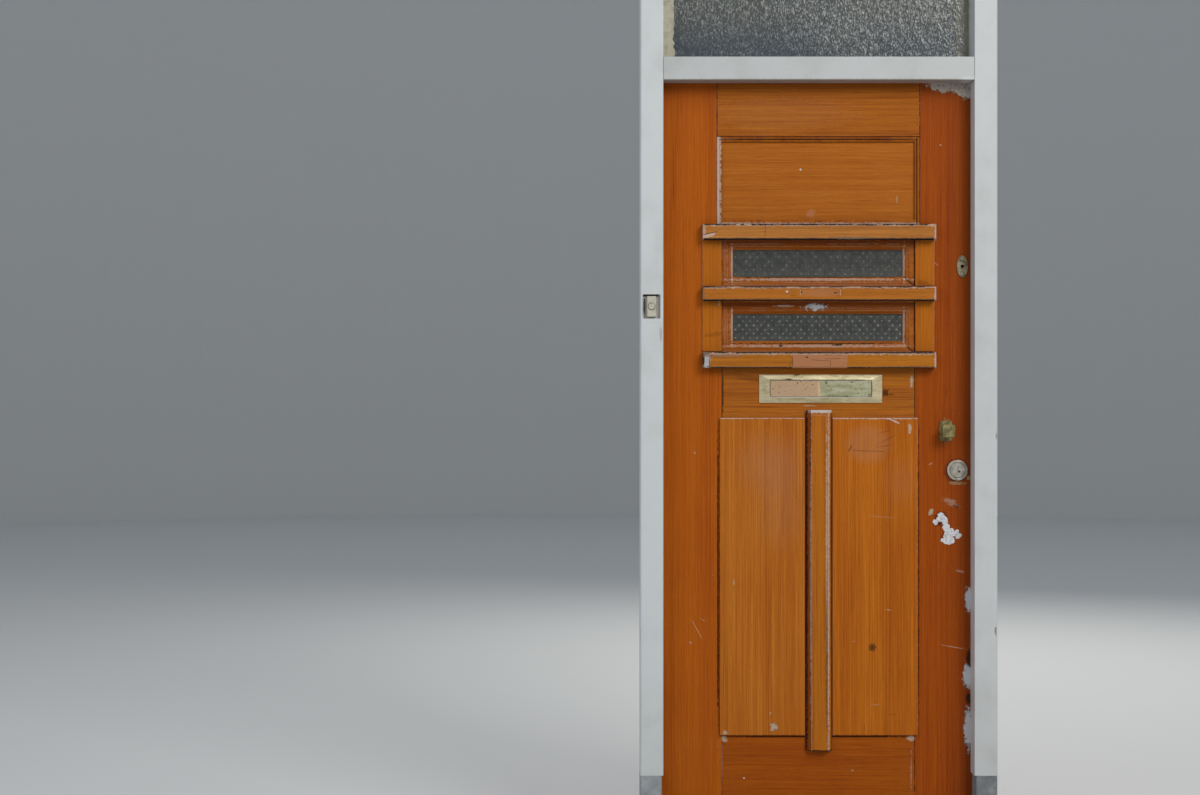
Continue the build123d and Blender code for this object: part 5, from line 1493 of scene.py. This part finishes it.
    def dress_ledges(self) -> None:
        """The three ledges and the strips beside the lights."""
        low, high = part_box("upper_ledge")
        Varnish(
            Grain.LEVEL, 7.3, body=srgb(182, 116, 52), dark=srgb(138, 80, 32), light=srgb(198, 132, 64),
            arris=0.95, cracks=0.9,
            wear=(
                EdgeWearAndShade(Side.TOP, 0.0115, 1.0, Tone.FLAKE, 0.8),
                EdgeWearAndShade(Side.TOP, 0.0085, 0.55, Tone.DIRT, 0.95),
                EdgeWearAndShade(Side.FOOT, 0.0055, 0.8, Tone.BARE, 0.8),
                EdgeWearAndShade(Side.FOOT, 0.003, 0.7, Tone.DIRT, 0.95),
                EdgeWearAndShade(Side.LEFT, 0.004, 0.9, Tone.FLAKE, 0.8),
                EdgeWearAndShade(Side.RIGHT, 0.007, 0.8, Tone.FLAKE, 0.8),
            ),
            marks=(
                Mark(-0.305, low.z + 0.010, 0.022, 0.006, Tone.FLAKE, 0.9, 0.4, -14.0),
                Mark(-0.3135, low.z + 0.024, 0.0014, 0.018, Tone.FLAKE, 0.9, 0.3),
                *marks_of(
                    Tone.DIRT, (-0.300, low.z + 0.016, 0.024, 0.0012, 0.9, 0.3, -14.0),
                    (-0.02, high.z - 0.002, 0.2, 0.003, 0.8, 1.4),
                    (0.14, high.z - 0.004, 0.05, 0.004, 0.8, 1.2),
                ),
                Mark(0.09, low.z + 0.003, 0.05, 0.003, Tone.BARE, 0.8, 1.0),
                Mark(-0.146, low.z + 0.022, 0.001, 0.018, Tone.DIRT, 0.5, 0.4),
            ),
        ).cover("upper_ledge")
        low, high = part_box("middle_ledge")
        Varnish(
            Grain.LEVEL, 8.1, body=srgb(178, 105, 34), dark=srgb(130, 70, 20), light=srgb(188, 116, 36),
            arris=0.95, cracks=0.8,
            wear=(
                EdgeWearAndShade(Side.TOP, 0.0100, 1.0, Tone.FLAKE, 0.75),
                EdgeWearAndShade(Side.TOP, 0.0066, 0.55, Tone.DIRT, 0.85),
                EdgeWearAndShade(Side.FOOT, 0.0045, 0.75, Tone.BARE, 0.7),
                EdgeWearAndShade(Side.FOOT, 0.0026, 0.7, Tone.DIRT, 0.95),
                EdgeWearAndShade(Side.LEFT, 0.005, 0.9, Tone.BARE, 0.8),
                EdgeWearAndShade(Side.RIGHT, 0.007, 0.9, Tone.FLAKE, 0.8),
            ),
            marks=(
                Mark(0.0075, low.z + 0.020, 0.064, 0.012, Tone.SANDED, 0.42, 0.2, soft=0.2),
                Mark(-0.048, low.z + 0.022, 0.0016, 0.009, Tone.FLAKE, 0.6, 0.5),
                Mark(0.063, low.z + 0.022, 0.0016, 0.009, Tone.FLAKE, 0.6, 0.5),
                Mark(-0.046, low.z + 0.022, 0.003, 0.003, Tone.DIRT, 0.8, 0.5),
                Mark(0.049, low.z + 0.020, 0.004, 0.002, Tone.DIRT, 0.9, 0.5),
                Mark(-0.085, low.z + 0.024, 0.004, 0.003, Tone.FILLER, 0.8, 0.5),
                Mark(0.06, low.z + 0.022, 0.02, 0.001, Tone.DIRT, 0.6, 0.6),
                Mark(-0.07, low.z + 0.012, 0.01, 0.001, Tone.DIRT, 0.6, 0.6),
            ),
        ).cover("middle_ledge")
        low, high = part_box("lower_ledge")
        Varnish(
            Grain.LEVEL, 8.9, body=srgb(173, 103, 31), dark=srgb(128, 70, 17), light=srgb(192, 120, 30),
            arris=0.95, cracks=0.8,
            wear=(
                EdgeWearAndShade(Side.TOP, 0.0125, 1.2, Tone.FLAKE, 0.8),
                EdgeWearAndShade(Side.TOP, 0.0075, 0.6, Tone.DIRT, 0.9),
                EdgeWearAndShade(Side.FOOT, 0.005, 0.8, Tone.BARE, 0.85),
                EdgeWearAndShade(Side.FOOT, 0.003, 0.7, Tone.DIRT, 0.95),
                EdgeWearAndShade(Side.LEFT, 0.026, 1.4, Tone.BARE, 0.9),
                EdgeWearAndShade(Side.RIGHT, 0.007, 0.8, Tone.FLAKE, 0.8),
            ),
            marks=(
                band(Tone.SANDED, 0.006, low.z + 0.018, 0.077, 0.019, 0.85, 0.025, 0.03),
                Mark(-0.309, low.z + 0.020, 0.012, 0.018, Tone.FILLER, 0.6, 0.5),
                *marks_of(
                    Tone.DIRT, (-0.3175, low.z + 0.024, 0.0035, 0.017, 0.95, 0.3),
                    (-0.03, low.z + 0.030, 0.004, 0.002, 0.8, 0.6),
                    (0.04, low.z + 0.026, 0.030, 0.001, 0.5, 1.0),
                ),
                Mark(-0.275, low.z + 0.034, 0.06, 0.004, Tone.BARE, 0.6, 1.0),
                *marks_of(
                    Tone.DIRT, (-0.301, low.z + 0.016, 0.0015, 0.012, 0.7, 0.8),
                    (0.035, low.z + 0.012, 0.0010, 0.010, 0.6, 0.6),
                    (0.010, low.z + 0.021, 0.034, 0.0009, 0.55, 0.7, 4.0),
                    (-0.070, low.z + 0.018, 0.0012, 0.013, 0.6, 0.5),
                ),
            ),
        ).cover("lower_ledge")
        Varnish(
            Grain.UPRIGHT, 9.7, body=srgb(178, 99, 22), dark=srgb(140, 69, 12), light=srgb(192, 112, 20),
            arris=0.8, contrast=0.8,
            marks=(
                Mark(0.302, 1.60, 0.02, 0.01, Tone.KNOT, 0.4, 0.7, 20.0),
                Mark(-0.29, 1.46, 0.03, 0.006, Tone.KNOT, 0.35, 0.7, -8.0),
                Mark(-0.273, 1.56, 0.003, 0.02, Tone.CHALK, 0.6, 0.8),
            ),
        ).cover("side_strips")

    def dress_beads(self) -> None:
        """The stepped beads round the lights, worn where rain runs off them."""
        for offset, node in enumerate(("light_bead_upper", "light_bead_lower")):
            low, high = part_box(node)
            marks = [
                Mark(-0.2555, (low.z + high.z) / 2, 0.004, 0.07, Tone.PINK, 0.2, 0.9),
                *marks_of(
                    Tone.FLAKE, (-0.236, (low.z + high.z) / 2, 0.0036, 0.060, 0.75, 0.6),
                    (0.245, (low.z + high.z) / 2, 0.0035, 0.050, 0.7, 0.8),
                    (0.0, low.z + 0.019, 0.28, 0.0040, 0.6, 1.0),
                ),
                Mark(0.0, low.z + 0.026, 0.25, 0.0018, Tone.DIRT, 0.85, 1.1),
                Mark(0.262, low.z + 0.010, 0.015, 0.003, Tone.DIRT, 0.7, 0.5, 40.0),
            ]
            if node == "light_bead_lower":
                marks += [
                    Mark(-0.004, 1.538, 0.030, 0.010, Tone.FILLER, 0.9, 0.9, 0.0, 2.0),
                    Mark(-0.090, 1.541, 0.028, 0.0022, Tone.CHALK, 0.85, 0.9),
                    Mark(0.058, low.z + 0.022, 0.014, 0.003, Tone.DIRT, 0.9, 0.8),
                    Mark(-0.10, low.z + 0.020, 0.006, 0.004, Tone.DIRT, 0.8, 0.8),
                ]
            Varnish(
                Grain.LEVEL, 10.3 + offset, body=srgb(161, 84, 20), dark=srgb(108, 48, 9),
                light=srgb(180, 108, 40), arris=0.8, cracks=0.8,
                wear=(
                    EdgeWearAndShade(Side.LEFT, 0.008, 0.5, Tone.PINK, 0.3),
                    EdgeWearAndShade(Side.FOOT, 0.008, 0.7, Tone.PINK, 0.35),
                    EdgeWearAndShade(Side.LEFT, 0.0026, 0.8, Tone.DIRT, 0.85),
                    EdgeWearAndShade(Side.RIGHT, 0.0034, 1.2, Tone.DIRT, 0.85),
                    EdgeWearAndShade(Side.FOOT, 0.002, 0.8, Tone.DIRT, 0.85),
                ),
                # The fade under the top is painted shade under the ledges.
                fades=(Fade(2, high.z - 0.035, high.z, Tone.DEEP, 0.6),), marks=tuple(marks),
            ).cover(node)
        Varnish(Grain.LEVEL, 12.1).cover("light_inner_beads")


@dataclass
class Lights:
    """The two small panes, with the raised dots of their figured glass."""

    dot_radii: tuple[float, float] = (0.0021, 0.0030)
    dot_height: float = 0.0014
    buried: float = 0.0002
    column_pitch: float = 0.0205
    row_pitch: float = 0.0118
    row_pairs: int = 3

    def dress(self) -> None:
        """Gives the panes their material and their dots."""
        # The dots' pale second colour is painted glint on them.
        dotted = DarkGlass(srgb(72, 75, 72), srgb(142, 145, 139), 0.8, 0.9)
        for name, radius in zip(("upper", "lower"), self.dot_radii):
            node = f"light_glass_{name}"
            DarkGlass().cover(node)
            self.add_dots(f"light_dots_{name}", node, radius, dotted)

    def add_dots(self, name: str, pane: str, radius: float, finish: DarkGlass) -> None:
        """Covers one pane with staggered rows of raised dots.

        Args:
            name: the new piece's name.
            pane: the CAD node that they stand on.
            radius: the radius of a dot.
            finish: their finish.
        """
        low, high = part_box(pane)
        rows = 2 * self.row_pairs
        columns = int((high.x - low.x - 4 * radius) / self.column_pitch)
        first = Vector(
            (
                (low.x + high.x) / 2 - (columns - 0.5) * self.column_pitch / 2, low.y,
                (low.z + high.z) / 2 - (rows - 1) * self.row_pitch / 2,
            ),
        )
        Bench.select_none()
        bpy.ops.mesh.primitive_uv_sphere_add(segments=12, ring_count=8, radius=radius, location=first)
        dots = Bench.start(name)
        dots.scale = (1.0, self.dot_height / radius, 1.0)
        Bench.settle(dots)
        Bench.keep_front(dots, low.y + self.buried)
        steps = (
            (columns, (self.column_pitch, 0.0, 0.0)), (2, (self.column_pitch / 2, 0.0, self.row_pitch)),
            (self.row_pairs, (0.0, 0.0, 2 * self.row_pitch)),
        )
        for count, step in steps:
            Bench.apply(
                dots, "ARRAY", count=count, use_relative_offset=False, use_constant_offset=True,
                constant_offset_displace=step,
            )
        Bench.hand_over(dots, "door_leaf", "light_glass", finish.build(f"{name}_finish", (low, high)))


@dataclass
class LetterPlate:
    """The brass plate and its flap, pinker on the left where it is polished through."""

    polished_edge: tuple[float, float] = (-0.006, 0.002)

    def dress(self) -> None:
        """Gives plate, flap and pin their materials."""
        low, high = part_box("letter_flap")
        middle = (low.x + high.x) / 2
        rim_low, rim_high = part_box("letter_plate")
        brass = WornMetal(srgb(216, 202, 166), srgb(164, 154, 108), 0.5, 0.34, 0.55)
        outline = (
            # A painted highlight under the flap's foot.
            band(Tone.FILLER, middle, low.z - 0.0010, (high.x - low.x) / 2, 0.0010, 0.8, 0.1),
            band(Tone.DIRT, middle, high.z + 0.0012, (high.x - low.x) / 2, 0.0012, 0.8, 0.2),
            band(Tone.BARE, low.x - 0.0010, (low.z + high.z) / 2, 0.0012, 0.022, 0.8, 0.2),
            band(Tone.BARE, high.x + 0.0012, (low.z + high.z) / 2, 0.0012, 0.022, 0.9, 0.2),
            # Painted highlights along the rim's two lower mitres.
            Mark(rim_low.x + 0.015, rim_low.z + 0.009, 0.016, 0.0012, Tone.FLAKE, 0.7, 0.2, -38.0),
            Mark(rim_high.x - 0.015, rim_low.z + 0.009, 0.016, 0.0012, Tone.FLAKE, 0.8, 0.2, 38.0),
            Mark(rim_low.x + 0.014, (low.z + high.z) / 2, 0.010, 0.022, Tone.PUTTY, 0.35, 0.6, soft=0.7),
            Mark(rim_low.x + 0.083, high.z + 0.003, 0.007, 0.0022, Tone.DIRT, 0.8, 0.6),
            Mark(rim_low.x + 0.105, rim_high.z - 0.001, 0.010, 0.0014, Tone.DIRT, 0.8, 0.6),
        )
        replace(brass, stretch=0.3, marks=outline).cover("letter_plate")
        WornMetal(
            srgb(196, 196, 166), srgb(140, 138, 96), 0.55, 0.36, 0.5,
            (middle + self.polished_edge[0], middle + self.polished_edge[1]), stretch=0.2,
            marks=(
                Mark(middle + 0.015, high.z - 0.006, 0.004, 0.004, Tone.DIRT, 0.7, 0.5),
                Mark(middle + 0.086, high.z - 0.005, 0.007, 0.0025, Tone.DIRT, 0.9, 0.5),
                Mark(middle + 0.065, high.z - 0.0045, 0.070, 0.0012, Tone.FLAKE, 0.6, 0.6),
                Mark(high.x - 0.006, low.z + 0.006, 0.005, 0.004, Tone.BARE, 0.8, 0.6),
            ),
        ).cover("letter_flap")
        brass.cover("flap_pin", "flap_spring")


@dataclass
class Locks:
    """Cylinder, night latch, upper bolt, pull knob and all their screws."""

    slot_width: float = 0.0009
    slot_depth: float = 0.0005
    head_radius: float = 0.0033
    head_height: float = 0.0009
    head_buried: float = 0.0002
    head_sides: int = 32
    front_heads: tuple[Point, ...] = ((0.4065, 1.672, 12.0), (0.4065, 1.630, -31.0))
    case_heads: tuple[Point, ...] = (
        (0.392, 1.696, 70.0), (0.428, 1.696, -8.0), (0.392, 1.606, 24.0), (0.428, 1.606, 95.0),
    )
    keeper_heads: tuple[Point, ...] = (
        (0.4605, 1.696, 41.0), (0.4605, 1.606, -17.0), (0.4605, 1.121, 5.0), (0.4605, 1.043, 62.0),
    )
    ear_face: float = 0.098

    def dress(self) -> None:
        """Gives the locks their materials and their screws their slotted heads."""
        nickel = WornMetal(srgb(202, 197, 188), srgb(146, 138, 124), 0.55, 0.34, 0.65)
        # The keyhole: painted shade in its hole and a painted glint just above it.
        keyhole = (
            Mark(0.397, 1.0785, 0.0022, 0.0034, Tone.DIRT, 0.95, 0.1),
            Mark(0.3975, 1.0855, 0.0018, 0.0022, Tone.FILLER, 0.9, 0.1),
        )
        steel = WornMetal(srgb(172, 170, 164), srgb(112, 106, 98), 0.45, 0.36)
        cast_brass = WornMetal(srgb(184, 170, 112), srgb(104, 96, 56), 0.66, 0.38, 0.65)
        nickel.cover("cylinder_rose", "cylinder_body")
        replace(nickel, marks=keyhole).cover("cylinder_plug")
        WornMetal(srgb(162, 152, 124), srgb(92, 82, 58), 0.55, 0.42, 0.7).cover("oval_plate")
        steel.cover("upper_bolt", "latch_bolt", "latch_back_plate", "latch_spring")
        cast_brass.cover("pull_knob", "turn_knob", "snib", "through_bolts")
        steel.cover("leaf_screws", "hinge_leaf_halves")
        ChippedLacquer().cover("latch_case", "upper_bolt_case")
        master = self.slotted_head()
        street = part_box("oval_plate")[0].y
        self.set_heads("front_screw_heads", master, self.front_heads, street, "door_leaf", steel)
        self.set_heads("case_screw_heads", master, self.case_heads, self.ear_face, "door_leaf", steel)
        self.set_heads("keeper_screw_heads", master, self.keeper_heads, self.ear_face, "frame", steel)
        bpy.data.objects.remove(master)

    def slotted_head(self) -> bpy.types.Object:
        """Makes one domed screw head with its slot, at the origin, facing the room."""
        room = Vector((0.0, 1.0, 0.0))
        foot = room * -self.head_buried
        depth = self.head_height + self.head_buried
        head = Bench.drum("slotted_head", foot, self.head_radius, depth, room, self.head_sides)
        Bench.apply(head, "BEVEL", width=self.head_height * 0.7, segments=3, limit_method="ANGLE")
        reach = Vector((2 * self.head_radius, self.head_height, self.slot_width / 2))
        middle = room * (self.head_height + self.head_height - self.slot_depth)
        slot = Bench.slab("slot_cutter", middle - reach, middle + reach)
        Bench.apply(head, "BOOLEAN", operation="DIFFERENCE", object=slot, solver="EXACT")
        bpy.data.objects.remove(slot)
        return head

    def set_heads(
        self,
        name: str,
        master: bpy.types.Object,
        places: Sequence[Point],
        face: float,
        body: str,
        finish: WornMetal,
    ) -> None:
        """Sets copies of the screw head, each turned its own way.

        Args:
            name: the new piece's name.
            master: the head to copy.
            places: X, Z and turn in degrees of each head.
            face: the depth of the face that they sit on.
            body: the CAD body that they move with.
            finish: their metal.
        """
        half_turn = HALF_TURN if face < STREET_DEPTH else 0.0
        made = []
        for x, z, turn in places:
            Bench.only(master)
            bpy.ops.object.duplicate()
            head = Bench.start(name)
            head.rotation_euler = (0.0, math.radians(turn), half_turn)
            head.location = (x, face, z)
            Bench.settle(head)
            made.append(head)
        heads = Bench.join(made, name)
        Bench.hand_over(heads, body, "hinge_steel", finish.build(f"{name}_finish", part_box("leaf_screws")))


@dataclass
class BellPush:
    """The bell push in the left jamb."""

    def dress(self) -> None:
        """Gives body and button their plastics."""
        low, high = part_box("bell_button")
        middle = (low + high) / 2
        ring = (middle.x, middle.z, (high.x - low.x) / 2)
        AgedPlastic(ring=ring).cover("bell_body")
        AgedPlastic(srgb(200, 194, 176), srgb(162, 152, 126), 0.32, ring).cover("bell_button")


@dataclass(frozen=True)
class Lamp:
    """A square soft light: its place, the height on the door that it points at, its side and its watts."""

    name: str
    place: Point
    aim: float
    size: float
    power: float
    colour: Colour

    def hang(self) -> None:
        """Adds the light to the scene."""
        light = bpy.data.lights.new(self.name, "AREA")
        light.shape = "SQUARE"
        light.size = self.size
        light.energy = self.power
        light.color = self.colour
        lamp = bpy.data.objects.new(self.name, light)
        lamp.location = self.place
        towards = Vector((0.0, 0.0, self.aim)) - Vector(self.place)
        lamp.rotation_euler = towards.to_track_quat("-Z", "Y").to_euler()
        bpy.context.scene.collection.objects.link(lamp)


@dataclass
class Studio:
    """The plain pale floor, the soft lights and the camera at the photograph's place."""

    floor_radius: float = 15.0
    rim_height: float = 9.0
    eye: Point = (-0.605, -5.0, 1.285)
    lens: float = 54.3
    sensor: float = 36.0
    sight_end: float = 200.0
    sky: float = 0.5
    sky_colour: Colour = srgb(232, 238, 246)
    lamps: tuple[Lamp, ...] = (
        Lamp("key", (2.6, -4.4, 4.6), 1.3, 2.6, 194.0, srgb(255, 251, 244)),
        Lamp("fill", (-4.2, -3.6, 3.0), 1.2, 3.6, 68.0, srgb(238, 245, 255)),
        Lamp("room", (1.5, 5.0, 4.2), 1.3, 3.4, 150.0, srgb(255, 250, 242)),
    )

    def build(self) -> None:
        """Sets up floor, world, lights and camera."""
        self.add_floor()
        self.add_world()
        for lamp in self.lamps:
            lamp.hang()
        self.add_camera()

    def add_floor(self) -> None:
        """A round floor that rises at its rim, so that no horizon shows."""
        Bench.select_none()
        bpy.ops.mesh.primitive_circle_add(vertices=96, radius=self.floor_radius, fill_type="NGON")
        floor = Bench.start("studio_floor")
        with Bench.editing():
            bpy.ops.mesh.extrude_region_move(
                TRANSFORM_OT_translate={"value": (0.0, 0.0, self.rim_height)},
            )
            bpy.ops.mesh.delete(type="ONLY_FACE")
            bpy.ops.mesh.select_all(action="SELECT")
            bpy.ops.mesh.normals_make_consistent(inside=True)
        shader = Shader("studio_floor_finish")
        clouds = shader.noise(shader.place, 0.6, 2.0, 0.5)
        pale = shader.mix(clouds * 0.1, srgb(206, 208, 208), srgb(196, 198, 200))
        floor.data.materials.append(shader.finish(Base_Color=pale, Roughness=0.85))
        floor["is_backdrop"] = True

    def add_world(self) -> None:
        """A soft even sky."""
        world = bpy.data.worlds.new("studio_sky")
        bpy.context.scene.world = world
        world.use_nodes = True
        background = world.node_tree.nodes["Background"]
        background.inputs["Color"].default_value = (*self.sky_colour, 1.0)
        background.inputs["Strength"].default_value = self.sky

    def add_camera(self) -> None:
        """The camera, level and square to the wall, left of the door."""
        data = bpy.data.cameras.new("street_view")
        data.lens = self.lens
        data.sensor_width = self.sensor
        data.clip_end = self.sight_end
        camera = bpy.data.objects.new("street_view", data)
        camera.location = self.eye
        camera.rotation_euler = (QUARTER_TURN, 0.0, 0.0)
        bpy.context.scene.collection.objects.link(camera)
        bpy.context.scene.camera = camera


def corners() -> list[list[float]]:
    """The shown object's lowest and highest corner, as plain lists."""
    bpy.context.view_layer.update()
    return [list(corner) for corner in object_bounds()]


def main() -> None:
    """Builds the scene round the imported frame."""
    logging.basicConfig(level=logging.INFO, format="%(name)s: %(message)s")
    cad_box = corners()
    bpy.context.scene.view_settings.view_transform = "Standard"
    PaintedFrame().dress()
    Fanlight().dress()
    LeafWood().dress()
    Lights().dress()
    LetterPlate().dress()
    Locks().dress()
    Filler().build()
    BellPush().dress()
    Studio().build()
    {"cad": cad_box, "scene": corners()}


if __name__ == "__main__":
    main()
